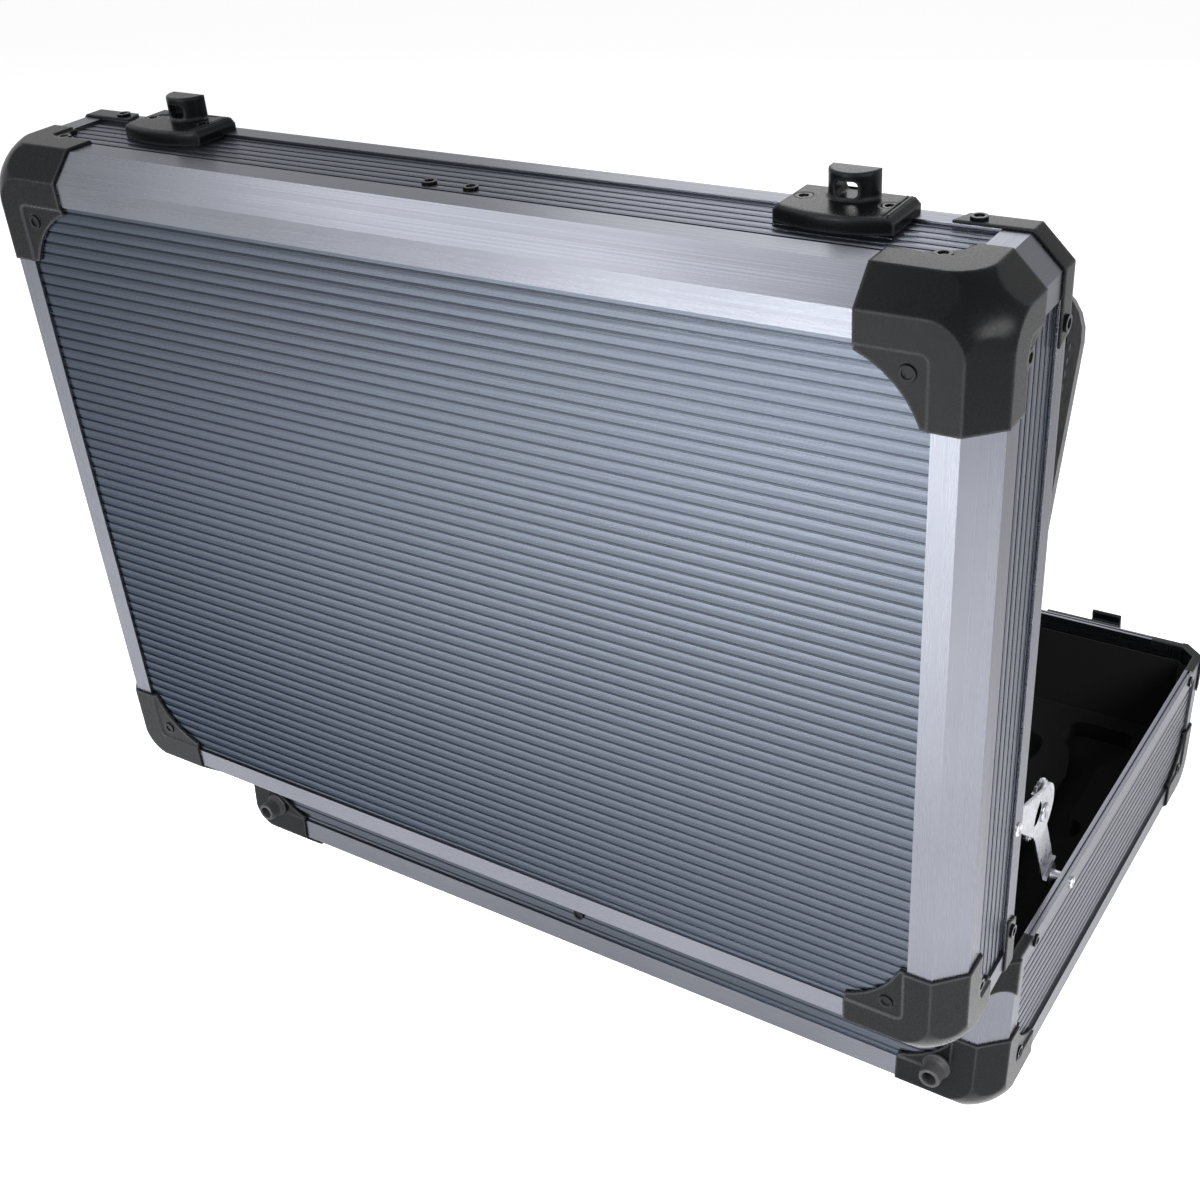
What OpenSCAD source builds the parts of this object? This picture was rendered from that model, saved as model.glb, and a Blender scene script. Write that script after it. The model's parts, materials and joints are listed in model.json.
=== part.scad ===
// Aluminium tool case, lid open at the angle that its stays allow.
// Origin: centre of the footprint, on the plane that the case stands on.
// Front (latches, handle) is -Y, the hinge is at +Y, up is +Z.

/* [Case] */
// Width over the edge extrusions, left to right
case_w = 455; // [400:1:560]
// Depth over the edge extrusions, front to hinge
case_d = 326; // [280:1:380]
// Height of the base half, from its rim to its bottom extrusions
base_h = 90.8; // [84:0.1:130]
// Height of the lid half, from its rim to its outer extrusions
lid_h = 63; // [58:0.1:90]
// Angle of the lid at rest, from closed
open_angle = 95; // [60:1:100]
// Gap between the two rims when the lid is closed
rim_gap = 0.3; // [0.2:0.05:0.6]

/* [Edge extrusions] */
// Width of the 45 degree chamfer, measured along either face
chamfer = 10.8; // [8:0.1:13]
// Width of the extrusion's flat on the outer faces and at the corner posts
face_flat = 9.8; // [8:0.1:12]
// Width of the extrusion's flat on the side walls
side_flat = 11.5; // [9:0.1:13]
// Wall of the extrusion outside the panel
skin_t = 1.2; // [1:0.1:1.6]
// Wall of the extrusion inside the panel
inner_skin_t = 0.8; // [0.6:0.1:1.2]
// Solid wall between the chamfer and the slot for the panel
slot_wall = 1; // [0.8:0.1:1.5]
// Height of the rim extrusion's flanges
rim_h = 9; // [8:0.1:12]
// Depth of the rim extrusion's solid edge
rim_web = 2.5; // [2:0.1:3.5]
// Distance of the rim's dark groove from the outer surface
rim_groove_in = 1.3; // [1:0.1:1.6]
// Width of the rim's dark groove
rim_groove_w = 1.2; // [0.8:0.1:1.5]
// Depth of the rim's dark groove
rim_groove_d = 1.2; // [0.8:0.1:1.5]

/* [Ribbed panels] */
// Thickness of the panels
panel_t = 2.5; // [2:0.1:3]
// Distance from one groove to the next
rib_pitch = 5; // [4:0.1:8]
// Width of a groove
groove_w = 1.1; // [0.8:0.1:2]
// Depth of a groove
groove_d = 0.25; // [0.15:0.05:0.8]
// Play between a panel's edge and the end of its slot
panel_play = 0.2; // [0.1:0.05:0.5]

/* [Corner caps] */
// Thickness of a cap over the extrusions
cap_t = 1.2; // [1:0.1:1.6]
// Reach of a cap along the edges
cap_reach = 47; // [44:0.5:52]
// Width of a cap's arm at its end
cap_arm_w = 24; // [22:0.5:26]
// How far the edge between two arms is drawn in
cap_web_sag = 3.5; // [1:0.1:5]
// Height of a base cap at the upright corner
base_cap_h = 46; // [40:0.5:52]
// Height of a lid cap at the upright corner
lid_cap_h = 36; // [32:0.5:40]
// Flat top of a cap beside the upright corner
cap_top_flat = 20; // [16:0.5:22]
// How far a cap's middle is set back from its arms
cap_step = 0.8; // [0.4:0.1:0.9]
// Distance of that step from the extrusions' edges
cap_step_edge = 1.2; // [0.5:0.1:2]
// Radius of the step's corner
cap_step_r = 3; // [1:0.5:4]
// Distance from a case corner to the middle of the ball that rounds it
blend_in = 24; // [20:0.5:28]
// Distance of a cap's rivet from the nearest upright edge, along either wall
cap_rivet_in = 28.7; // [27:0.1:31]
// Height of the rivets in a cap's walls, from the outer face
cap_rivet_up = 25; // [23:0.1:27]

/* [Rivets] */
// Diameter of a rivet's head
rivet_head_d = 6; // [5:0.1:7]
// Height of a rivet's head
rivet_head_h = 1; // [0.8:0.05:1.1]
// Diameter of a rivet's shank
rivet_shank_d = 3.2; // [2.5:0.1:4]
// Diameter of the dish in a rivet's head
rivet_dish_d = 3.6; // [2.5:0.1:4]
// Depth of the dish in a rivet's head
rivet_dish_h = 0.5; // [0.3:0.05:0.6]
// Play around a rivet's head and shank
rivet_play = 0.15; // [0.1:0.05:0.3]
// Places of the pair of rivets in the middle of the lid's front wall
lid_pair_x = [-12.8, 6.4];
// Their distance from the lid's rim
lid_pair_z = 31; // [20:0.5:40]
// Distance of the single rivet in the base's rear wall from its middle
rear_rivet_x = -5.5; // [-40:0.5:40]
// Its height over the base's bottom extrusions
rear_rivet_up = 31; // [25:0.5:60]

/* [Rim corner plates] */
// Thickness of a plate on the outer surface
plate_t = 1; // [0.8:0.1:1.4]
// Reach of a base plate along the rim's top
rim_cover_reach = 30; // [24:0.5:36]
// Reach of a lid plate along the rim's flange
lid_plate_reach = 37.5; // [35:0.5:40]
// Slant of a lid plate's end
plate_slant = 3; // [1:0.1:5]
// Distance of a lid plate's rivets from the upright edge
lid_plate_rivet_in = 30; // [29:0.5:32]
// Height of a base plate's wrap at its sides
wrap_h = 22; // [18:0.5:26]
// Radius of the curved lower edge of a base plate's wrap
wrap_r = 11; // [9:0.5:14]
// How far that curve cuts into the wrap
wrap_cut = 7; // [4:0.5:9]
// Width of the wrap beside the chamfer
wrap_side = 2.5; // [1:0.1:4]
// Distance of the base rim's rivets from the upright edge
rim_rivet_in = 33.5; // [33:0.5:36]
// Distance of the rim rivets from the rim
rim_rivet_down = 4.6; // [4:0.1:5.4]

/* [Hinge] */
// Distance of the pivot behind the rear wall
hinge_out = 2; // [1.8:0.1:3]
// Distance of the hinge's ends from the sides of the case
hinge_in = 42.5; // [41.5:0.5:120]
// Number of knuckles, an odd number
knuckle_n = 15; // [3:2:21]
// Gap between two knuckles
knuckle_gap = 0.4; // [0.3:0.05:1]
// Thickness of a leaf
leaf_t = 1; // [0.8:0.1:1.2]
// Diameter of the hinge pin
hinge_pin_d = 2; // [1.5:0.1:2.4]
// Play of the pin in its knuckles, on the radius
pin_play = 0.05; // [0.02:0.01:0.08]
// Gap between the knuckles and the walls
knuckle_wall_gap = 0.3; // [0.2:0.05:0.4]
// Clearance of a leaf around the other leaf's knuckles
knuckle_clear = 0.5; // [0.4:0.05:0.8]

/* [Feet] */
// Distance of a foot from the upright edge
foot_in = 27.5; // [26:0.5:29]
// Height of a foot's centre over the outer face
foot_up = 27; // [25:0.5:29]
// Diameter of a foot at its root
foot_root_d = 13; // [11:0.5:14]
// Diameter of a foot at its tip
foot_tip_d = 9.5; // [8:0.5:10.5]
// Length of a foot
foot_l = 10; // [8:0.5:14]
// Diameter of the hole in a foot
foot_hole_d = 6.5; // [5:0.5:7]
// Depth of the hole in a foot
foot_hole_h = 7; // [5:0.5:7.5]

/* [Inside] */
// Thickness of the black lining
lining_t = 1; // [0.8:0.1:1.5]
// Distance of the lining's edge below the rim
lining_down = 9.4; // [9.2:0.1:12]
// Height of the foam's top over the base's bottom extrusions
foam_top = 33.8; // [26:0.1:44]
// Gap around the foam
foam_gap = 0.3; // [0.2:0.05:1]
// Depth of the recesses in the foam
recess_d = 10; // [6:0.5:14]

/* [Hammer recess in the foam] */
// Distance of the hammer's head from the left and the front of the case
hammer_in = [44.5, 32];
// Length and width of the head's recess
hammer_head = [40, 26];
// Length and width of the handle's recess
hammer_handle = [18, 200];

/* [Other recesses in the foam] */
// Place of the spanner recess
spanner_pos = [-136, 0];
// Length and width of the spanner recess
spanner = [22, 210];
// Diameter of the rings at its ends
spanner_ring_d = 34; // [26:1:40]
// Place of the first screwdriver recess
driver_pos = [-92, -10];
// Width and length of a screwdriver's grip recess
driver_grip = [24, 92];
// Width and length of a screwdriver's blade recess
driver_blade = [10, 112];
// Distance from one screwdriver to the next
driver_pitch = 36; // [32:1:44]
// Number of screwdrivers
driver_n = 4; // [1:1:4]
// Distance of the block recess's middle from the right and the front of the case
block_in = [95.5, 101];
// Length and width of the block recess
block = [120, 130];
// Distance of the pliers recess's middle from the right and the rear of the case
pliers_in = [95.5, 93];
// Length and width of the pliers recess
pliers = [140, 62];

/* [Latches and keepers] */
// Distance of a latch's middle from the side of the case
latch_in = 73; // [60:0.5:110]
// Width of a latch's plate
latch_plate_w = 42; // [36:1:50]
// Height of the straight part of a latch's plate
latch_plate_h = 40; // [36:1:46]
// Height of its curved lower end
latch_plate_bow = 9; // [5:0.5:12]
// Thickness of a latch's plate over the rim's flange
latch_plate_t = 3; // [2:0.1:4]
// Distance of the plate's top below the rim
latch_down = 0.2; // [0.1:0.1:2]
// Distance of the hasp's pivot below the rim
hasp_pivot_down = 40; // [38:0.5:42]
// Distance of the hasp's pivot from the wall
hasp_pivot_out = 7.5; // [7:0.1:9]
// Diameter of the hasp's pivot pin
hasp_pin_d = 3.5; // [3:0.1:4]
// Diameter of the eye around the pin
hasp_eye_d = 7.6; // [7:0.1:8]
// Width of the hasp
hasp_w = 18; // [14:0.5:20]
// Thickness of the hasp's sheet
hasp_t = 2; // [1.5:0.1:2.5]
// Lean of the hasp at rest, from upright
hasp_lean = 73; // [40:1:80]
// Height of the hasp's bend over its pivot
hasp_bend_up = 10; // [8:0.5:14]
// Reach of the hasp's hook over the keeper
hasp_hook = 6; // [4:0.5:7]
// Length of the lip under the finger
hasp_lip = 4; // [2:0.5:6]
// Gap between hasp and keeper when the latch is closed
hasp_gap = 0.4; // [0.3:0.05:0.8]
// Gap between the hasp and the ears beside it
ear_gap = 0.4; // [0.3:0.05:0.8]
// Thickness of an ear
ear_t = 2; // [1.5:0.1:3]
// Width of a keeper's plate
keeper_w = 43.5; // [38:0.5:50]
// Height of its straight sides
keeper_h = 22; // [18:0.5:26]
// Height of its curved end
keeper_bow = 5; // [3:0.5:7]
// Distance of the plate from the rim
keeper_down = 1.5; // [1:0.1:3]
// Thickness of a keeper's plate over the rim's flange
keeper_t = 4.5; // [3.5:0.1:5]
// Width of the bevel at the plate's ends
keeper_bevel = 2; // [1:0.1:3]
// Width of the keeper's block
block_w = 18; // [14:0.5:20]
// Distance of the block from the rim
block_down = 3; // [2.5:0.1:4]
// Height of the block's straight sides
block_side = 4; // [3:0.1:5]
// Height of the block's curved end
block_bow = 7; // [5:0.1:8]
// How far the block stands out from the wall
block_out = 14; // [13:0.1:15]
// Width of the slot through the block
slot_w = 8.4; // [7:0.1:10]
// Height of the slot through the block
slot_h = 5.6; // [5.2:0.1:6]
// Distance of the slot from the wall
slot_out = 5.6; // [5:0.1:6]
// Radius of the slot's corners
slot_r = 1.8; // [1:0.1:2.5]
// Distance of a plate's rivets from its middle
plate_rivet_x = 15.5; // [13:0.5:17]

/* [Carry handle] */
// Distance of a bracket from the middle of the case
bracket_x = 62; // [50:1:80]
// Width and height of a bracket's plate
bracket_plate = [30, 26];
// Thickness of a bracket's plate over the panel
bracket_t = 2.4; // [2:0.1:3]
// Distance of the handle's pivot below the rim
handle_down = 33; // [28:0.5:40]
// Distance of the handle's pivot from the panel
handle_out = 8; // [7.5:0.1:10]
// Diameter of the handle's pivot pins
handle_pin_d = 5; // [4:0.1:6]
// Diameter of the eye at the end of the handle's arm
handle_eye_d = 11; // [10:0.1:12]
// Width of the handle's arm
handle_arm_w = 9; // [7:0.1:11]
// Distance from the pivot to the grip's axis
handle_drop = 36; // [32:0.5:42]
// Distance of the grip's axis from the panel
grip_out = 10.5; // [10:0.1:13]
// Diameter of the grip
grip_d = 18; // [15:0.5:20]
// Diameter of the grip's narrower ends
grip_end_d = 14; // [12:0.5:16]
// Length of the grip between its narrower ends
grip_l = 96; // [80:1:120]

/* [Stays] */
// Distance of a stay's pivots from the inside of the rear edge
stay_in = 82; // [70:1:90]
// Distance of a stay's pivots from the rim
stay_down = 5; // [4.5:0.1:6]
// Bend between the two links at rest, straight is 180
stay_bend = 147; // [130:1:160]
// Thickness of a link
link_t = 1.5; // [1:0.1:1.6]
// Width of the lower link
lower_link_w = 13; // [10:0.5:14]
// Width of the upper link
upper_link_w = 12; // [10:0.5:12]
// Diameter of the upper link's toothed end
tooth_disc_d = 21; // [18:0.5:24]
// Number of teeth around that end
tooth_n = 18; // [10:1:24]
// Diameter of the notches between the teeth
tooth_notch_d = 2; // [1.5:0.1:2.4]
// Gap between the two links' planes
link_gap = 0.5; // [0.4:0.1:1]
// Diameter of the stay's pivot studs
stud_d = 5; // [4:0.1:6]
// Diameter of a stud's head
stud_head_d = 9; // [8:0.1:10]
// Thickness of a stud's head
stud_head_h = 1; // [0.8:0.1:1.5]
// Gap between the upper link and the wall
stay_wall_gap = 2.5; // [2:0.1:4]
// Diameter of the foot under a stud
stud_foot_d = 7; // [6:0.1:7]

/* [Organizer panel] */
// Thickness of the panel
organizer_t = 3; // [2:0.1:4]
// Distance of its pivot from the rear edge
organizer_pivot_in = 11; // [10:0.5:14]
// Distance of its pivot from the lid's rim
organizer_pivot_deep = 45.5; // [38:0.5:47]
// Lean out of the lid at rest
organizer_lean = 19.6; // [10:0.1:20]
// Distance of its top edge from the lid's front, if it stood upright in the lid
organizer_top_in = 22; // [21:1:60]
// Gap between its sides and the lining
organizer_side_gap = 2; // [1.5:0.1:20]
// How much narrower its lower part is on each side, between the stays
organizer_step = 21; // [20:1:40]
// Length of its lower part
organizer_low_l = 182; // [176:1:200]
// Radius of its top corners
organizer_r = 20; // [5:1:30]
// Width of the bound edge
binding_w = 5; // [3:0.5:8]
// How far the bound edge stands up on each face
binding_t = 1; // [0.5:0.1:1.5]
// Diameter of the hinge rod in its lower edge
organizer_rod_d = 4; // [3:0.1:5]
// Diameter of the sleeve around the rod
organizer_sleeve_d = 8; // [7:0.1:9]
// Width of the two brackets that hold the rod
rod_bracket_w = 6; // [4:0.5:10]
// Height and depth of those brackets
rod_bracket_t = 8; // [6:0.5:8]
// Gap between those brackets and the lining
rod_bracket_gap = 0.2; // [0.1:0.05:0.4]

/* [Hidden] */
$fn = 48;
over = 1;                                    // overrun of every cut
blend_ease = 0.05;                           // how far the ball stands clear of the chamfers' ends
bow_steps = 16;                              // sides of a plate's curved end
wall_t = skin_t + panel_t + inner_skin_t;    // whole thickness of a wall
slot_in = chamfer + slot_wall;               // depth of the end of a panel's slot from the edge
edge_w = chamfer + face_flat;                // width of an extrusion on an outer face
edge_h = chamfer + side_flat;                // height of an extrusion on a wall
rim_z = base_h + cap_t;                      // height of the base's rim over the floor
half_w = case_w / 2;
half_d = case_d / 2;
hinge_y = half_d + hinge_out;
hinge_len = case_w - 2 * hinge_in;
grow_share = 2 - sqrt(2);                    // how a 45 degree chamfer grows with an offset
web_steps = 6;                               // points along a cap's drawn-in edge
hasp_eye_r = hasp_eye_d / 2;
rivet_in_share = 0.75;                       // distance of a bracket's rivet from its edge, in heads
latch_x = half_w - latch_in;                 // distance of a latch from the middle of the case
organizer_w = case_w - 2 * (wall_t + lining_t + organizer_side_gap);
organizer_low_w = organizer_w - 2 * organizer_step;
organizer_l = case_d - organizer_pivot_in - organizer_top_in;

// Plan outline of the case, grown by g on every side
module plan(g) {
    c = chamfer + g * grow_share;
    x = half_w + g;
    y = half_d + g;
    polygon([
        [-x + c, -y], [x - c, -y], [x, -y + c], [x, y - c],
        [x - c, y], [-x + c, y], [-x, y - c], [-x, -y + c]
    ]);
}

// Section across a half case of half-width m and height h, with the rim at the top
module section(m, h, g) {
    c = chamfer + g * grow_share;
    x = m + g;
    b = h + g;
    polygon([[-x, 0], [-x, -b + c], [-x + c, -b], [x - c, -b], [x, -b + c], [x, 0]]);
}

// A section in (y, z) drawn out along x, and one in (x, z) drawn out along y
module along_x(l) translate([-l / 2, 0, 0]) rotate([90, 0, 90]) linear_extrude(l) children();
module along_y(l) translate([0, l / 2, 0]) rotate([90, 0, 0]) linear_extrude(l) children();

// A half case as a solid block with chamfered edges: rim at z = 0, outer face at z = -h
module half_block(h, g) difference() {
    intersection() {
        translate([0, 0, -h - g]) linear_extrude(h + g) plan(g);
        along_x(case_w + 2 * (cap_t + over)) section(half_d, h, g);
        along_y(case_d + 2 * (cap_t + over)) section(half_w, h, g);
    }
    each_corner() corner_cut(h, g);
}
// What a ball takes off the corner at +X +Y where the three chamfers would meet
module corner_cut(h, g) {
    r = norm([blend_in + g, blend_in - chamfer + g * (1 - grow_share)]) + blend_ease;
    translate([half_w - blend_in, half_d - blend_in, -h + blend_in]) difference() {
        translate([0, 0, -blend_in - g - over])
            cube([blend_in + g + over, blend_in + g + over, blend_in + g + over]);
        sphere(r, $fn = 2 * $fn);
    }
}

// The block with its panels set back behind the extrusions: what the fittings lie on
module core(h) difference() {
    half_block(h, 0);
    inner_w = case_w - 2 * edge_w;
    inner_d = case_d - 2 * edge_w;
    wall_h = h - edge_h - rim_h;
    translate([-inner_w / 2, -inner_d / 2, -h - over]) cube([inner_w, inner_d, skin_t + over]);
    for (s = [0, 1]) {
        mirror([0, s, 0]) translate([-inner_w / 2, half_d - skin_t, -h + edge_h])
            cube([inner_w, skin_t + over, wall_h]);
        mirror([s, 0, 0]) translate([half_w - skin_t, -inner_d / 2, -h + edge_h])
            cube([skin_t + over, inner_d, wall_h]);
    }
}

// Section of an edge extrusion: a along the first face, b along the second, slots for two panels
function trim_points(a, b) = [
    [0, chamfer + b], [0, chamfer], [chamfer, 0], [chamfer + a, 0],
    [chamfer + a, skin_t], [slot_in, skin_t],
    [slot_in, skin_t + panel_t], [chamfer + a, skin_t + panel_t],
    [chamfer + a, wall_t], [chamfer, wall_t], [wall_t, chamfer], [wall_t, chamfer + b],
    [skin_t + panel_t, chamfer + b], [skin_t + panel_t, slot_in],
    [skin_t, slot_in], [skin_t, chamfer + b]
];

// Edge extrusion along the front of a half case, mitred at both ends
module edge_bar(l, d, h) intersection() {
    translate([0, -d, -h]) along_x(l) polygon(trim_points(face_flat, side_flat));
    translate([0, 0, -h - over]) linear_extrude(edge_h + 2 * over) polygon([
        [-l / 2 + chamfer, -d], [l / 2 - chamfer, -d], [l / 2 - chamfer / 2, -d + chamfer / 2],
        [l / 2 - edge_w, -d + edge_w], [-l / 2 + edge_w, -d + edge_w],
        [-l / 2 + chamfer / 2, -d + chamfer / 2]
    ]);
}
module rounded_corners(h) difference() {
    children();
    each_corner() corner_cut(h, 0);
}

// The same part on the front, rear, left or right side, from one drawn for the front
module side(i) {
    if (i == 0) children();
    if (i == 1) rotate([0, 0, 180]) children();
    if (i == 2) rotate([0, 0, -90]) children();
    if (i == 3) rotate([0, 0, 90]) children();
}
module trim(i, h) rounded_corners(h) side(i)
    if (i < 2) edge_bar(case_w, half_d, h);
    else edge_bar(case_d, half_w, h);

// Four upright corner extrusions, from the edge extrusions to the plates on the rim
module corner_posts(h) rounded_corners(h) each_corner() translate([half_w, half_d, -h + edge_h])
    linear_extrude(h - edge_h - rim_web) rotate(180) polygon(trim_points(face_flat, face_flat));

// One straight length of the rim extrusion along the front, cut back at its ends for the corner plates
module rim_bar(l, d, cut_in) difference() {
    translate([0, -d, 0]) along_x(l - 2 * edge_w) polygon([
        [0, 0], [rim_groove_in, 0], [rim_groove_in, -rim_groove_d],
        [rim_groove_in + rim_groove_w, -rim_groove_d], [rim_groove_in + rim_groove_w, 0],
        [wall_t, 0], [wall_t, -rim_h], [skin_t + panel_t, -rim_h], [skin_t + panel_t, -rim_web],
        [skin_t, -rim_web], [skin_t, -rim_h], [0, -rim_h]
    ]);
    for (s = [0, 1]) mirror([s, 0, 0])
        translate([l / 2 - cut_in, -d - over, -rim_web]) cube([cut_in, wall_t + 2 * over, rim_web + over]);
}
module rim_frame(cut_in) difference() {
    for (i = [0:3]) side(i)
        if (i < 2) rim_bar(case_w, half_d, cut_in);
        else rim_bar(case_d, half_w, cut_in);
    children();
}

// Section of a ribbed plate of length l: outer side at y = 0, the grooves cut into it
module ribbed(l) {
    n = floor((l / 2 - groove_w) / rib_pitch);
    difference() {
        translate([-l / 2, 0]) square([l, panel_t]);
        for (i = [-n:n]) translate([i * rib_pitch - groove_w / 2, -over]) square([groove_w, groove_d + over]);
    }
}
module swap_xy() mirror([1, 0]) rotate(90) children();

module face_panel(h) difference() {
    edge = slot_in + panel_play;
    rounded_corners(h) translate([0, 0, -h + skin_t])
        along_x(case_w - 2 * edge) ribbed(case_d - 2 * edge);
    cap_rivets(h) rivet_hole(wall_t);
}
module wall_panel(i, h) {
    bottom = -h + slot_in + panel_play;
    top = -rim_web - panel_play;
    l = (i < 2 ? case_w : case_d) - 2 * (slot_in + panel_play);
    d = i < 2 ? half_d : half_w;
    difference() {
        rounded_corners(h) side(i) translate([0, -d + skin_t, (top + bottom) / 2])
            along_x(l) swap_xy() ribbed(top - bottom);
        cap_rivets(h) rivet_hole(wall_t);
        children();
    }
}

// A rivet and its hole: z = 0 is where the head sits, z points outward
module rivet(l) {
    difference() {
        cylinder(d = rivet_head_d, h = rivet_head_h);
        translate([0, 0, rivet_head_h - rivet_dish_h]) cylinder(d = rivet_dish_d, h = rivet_dish_h + over);
    }
    translate([0, 0, -l]) cylinder(d = rivet_shank_d, h = l);
}
module rivet_hole(l) {
    cylinder(d = rivet_head_d + 2 * rivet_play, h = rivet_head_h + cap_t + over);
    rivet_shaft(l);
}
module rivet_shaft(l) translate([0, 0, -l - over])
    cylinder(d = rivet_shank_d + 2 * rivet_play, h = l + 2 * over);
module facing_down() rotate([180, 0, 0]) children();
module facing_y(s) rotate([-90 * s, 0, 0]) children();
module facing_x(s) rotate([0, 90 * s, 0]) children();

// The twelve rivets of a half case's corner caps
module cap_rivets(h) for (x = [-1, 1], y = [-1, 1]) {
    translate([x * (half_w - cap_rivet_in), y * (half_d - cap_rivet_in), -h]) facing_down() children();
    translate([x * (half_w - cap_rivet_in), y * half_d, -h + cap_rivet_up]) facing_y(y) children();
    translate([x * half_w, y * (half_d - cap_rivet_in), -h + cap_rivet_up]) facing_x(x) children();
}
// The four rivets through the base rim's side flanges
module rim_rivets() for (x = [-1, 1], y = [-1, 1])
    translate([x * half_w, y * (half_d - rim_rivet_in), -rim_rivet_down]) facing_x(x) children();
// The eight rivets of the lid's rim plates
module lid_plate_rivets() for (x = [-1, 1], y = [-1, 1]) {
    translate([x * (half_w - lid_plate_rivet_in), y * (half_d + plate_t), -rim_rivet_down])
        facing_y(y) children();
    translate([x * (half_w + plate_t), y * (half_d - lid_plate_rivet_in), -rim_rivet_down])
        facing_x(x) children();
}
// The pair of rivets in the lid's front panel, and the single one in the base's rear panel
module lid_pair() for (x = lid_pair_x) translate([x, -half_d + skin_t, -lid_pair_z]) facing_y(-1) children();
module rear_rivet()
    translate([rear_rivet_x, half_d - skin_t, -base_h + rear_rivet_up]) facing_y(1) children();

// Points from p to q along an edge that is drawn in towards the corner
function drawn_in(p, q) = let (d = q - p, n = [d.y, -d.x] / norm(d)) [
    for (i = [0:web_steps]) let (s = i / web_steps) p + d * s - n * cap_web_sag * 4 * s * (1 - s)
];
module cap_outline(end) polygon(concat(
    [[-cap_t - over, -cap_t - over], [cap_reach, -cap_t - over]],
    drawn_in([cap_reach, cap_arm_w], end),
    [[-cap_t - over, end.y]]
));
// Prisms over the corner at +X +Y, from an outline in (distance from the upright edge, height)
// reaching the given depth into the case
module on_wall_y(depth) translate([half_w, half_d + cap_t + over, 0]) rotate([90, 0, 0])
    linear_extrude(cap_t + over + depth) mirror([1, 0]) children();
module on_wall_x(depth) translate([half_w - depth, half_d, 0]) rotate([90, 0, 90])
    linear_extrude(cap_t + over + depth) mirror([1, 0]) children();
module on_face(h, depth) translate([half_w, half_d, -h - cap_t - over])
    linear_extrude(cap_t + over + depth) rotate(180) children();
// The set-back middle of a cap, with one rounded corner at p
module step_outline(p) translate(p + [cap_step_edge, cap_step_edge]) difference() {
    square(cap_reach);
    difference() {
        translate([-over, -over]) square(cap_step_r + over);
        translate([cap_step_r, cap_step_r]) circle(cap_step_r);
        translate([-over, cap_step_r]) square([over, over]);
    }
}

module cap(h, cap_h) difference() {
    intersection() {
        half_block(h, cap_t);
        union() {
            on_face(h, blend_in) cap_outline([cap_arm_w, cap_reach]);
            translate([0, 0, -h]) on_wall_x(blend_in) cap_outline([cap_top_flat, cap_h]);
            translate([0, 0, -h]) on_wall_y(blend_in) cap_outline([cap_top_flat, cap_h]);
        }
    }
    core(h);
    on_face(h, cap_step - cap_t) step_outline([edge_w, edge_w]);
    translate([0, 0, -h]) on_wall_x(cap_step - cap_t) step_outline([edge_w, edge_h]);
    translate([0, 0, -h]) on_wall_y(cap_step - cap_t) step_outline([edge_w, edge_h]);
    cap_rivets(h) rivet_hole(wall_t);
}
module cap_at(x, y, h, cap_h) mirror([x, 0, 0]) mirror([0, y, 0]) cap(h, cap_h);

// The flat cover over the rim's top at one corner
module rim_cover(reach) intersection() {
    translate([0, 0, -rim_web]) linear_extrude(rim_web) difference() {
        plan(0);
        plan(-wall_t);
    }
    translate([half_w - reach, half_d - reach, -rim_h]) cube([reach, reach, rim_h + over]);
}
module shell_ring(h) translate([0, 0, -h]) linear_extrude(h) difference() {
    plan(plate_t);
    plan(0);
}
module each_corner() for (x = [0, 1], y = [0, 1]) mirror([x, 0, 0]) mirror([0, y, 0]) children();

module base_rim_plate() {
    rim_cover(rim_cover_reach);
    reach = chamfer + wrap_side;
    difference() {
        intersection() {
            shell_ring(wrap_h);
            translate([half_w - reach, half_d - reach, -wrap_h])
                cube([reach + over + plate_t, reach + over + plate_t, wrap_h]);
        }
        translate([half_w, half_d, -wrap_h - wrap_r + wrap_cut]) rotate([0, 90, 45])
            cylinder(r = wrap_r, h = case_d, center = true);
    }
}
module lid_rim_plate() {
    rim_cover(edge_w);
    intersection() {
        shell_ring(rim_h);
        union() {
            on_wall_y(chamfer) lid_plate_outline();
            on_wall_x(chamfer) lid_plate_outline();
        }
    }
}
module lid_plate_outline() polygon([
    [-cap_t - over, 0], [lid_plate_reach - plate_slant, 0],
    [lid_plate_reach, -rim_h], [-cap_t - over, -rim_h]
]);

// Feet on the rear caps, on which the case stands with its handle up
module feet(h) for (x = [-1, 1])
    translate([x * (half_w - foot_in), half_d + cap_t, -h + foot_up]) facing_y(1) difference() {
        cylinder(d1 = foot_root_d, d2 = foot_tip_d, h = foot_l);
        translate([0, 0, foot_l - foot_hole_h]) cylinder(d = foot_hole_d, h = foot_hole_h + over);
    }

module lining(h) difference() {
    half_block(h, -wall_t);
    half_block(h, -wall_t - lining_t);
    translate([-case_w, -case_d, -lining_down]) cube([2 * case_w, 2 * case_d, lining_down + over]);
    children();
}

// Outline of a plate with a flat top at y = 0 and a curved lower end
module bowed(w, h, bow) {
    r = (w * w / 4 + bow * bow) / (2 * bow);
    a = asin(w / 2 / r);
    polygon(concat([[w / 2, 0], [-w / 2, 0]], [
        for (i = [0:bow_steps]) let (b = a * (2 * i / bow_steps - 1)) [r * sin(b), -h - bow + r - r * cos(b)]
    ]));
}
// An outline in (x, z) on the front wall, from behind the panel's surface to t out from the flange
module on_front(t) translate([0, -half_d + wall_t, 0]) rotate([90, 0, 0])
    linear_extrude(wall_t + t) children();
module plate_rivets(z, t) for (x = [-plate_rivet_x, plate_rivet_x])
    translate([x, -half_d - t + rivet_head_h, z]) facing_y(-1) children();

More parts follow.
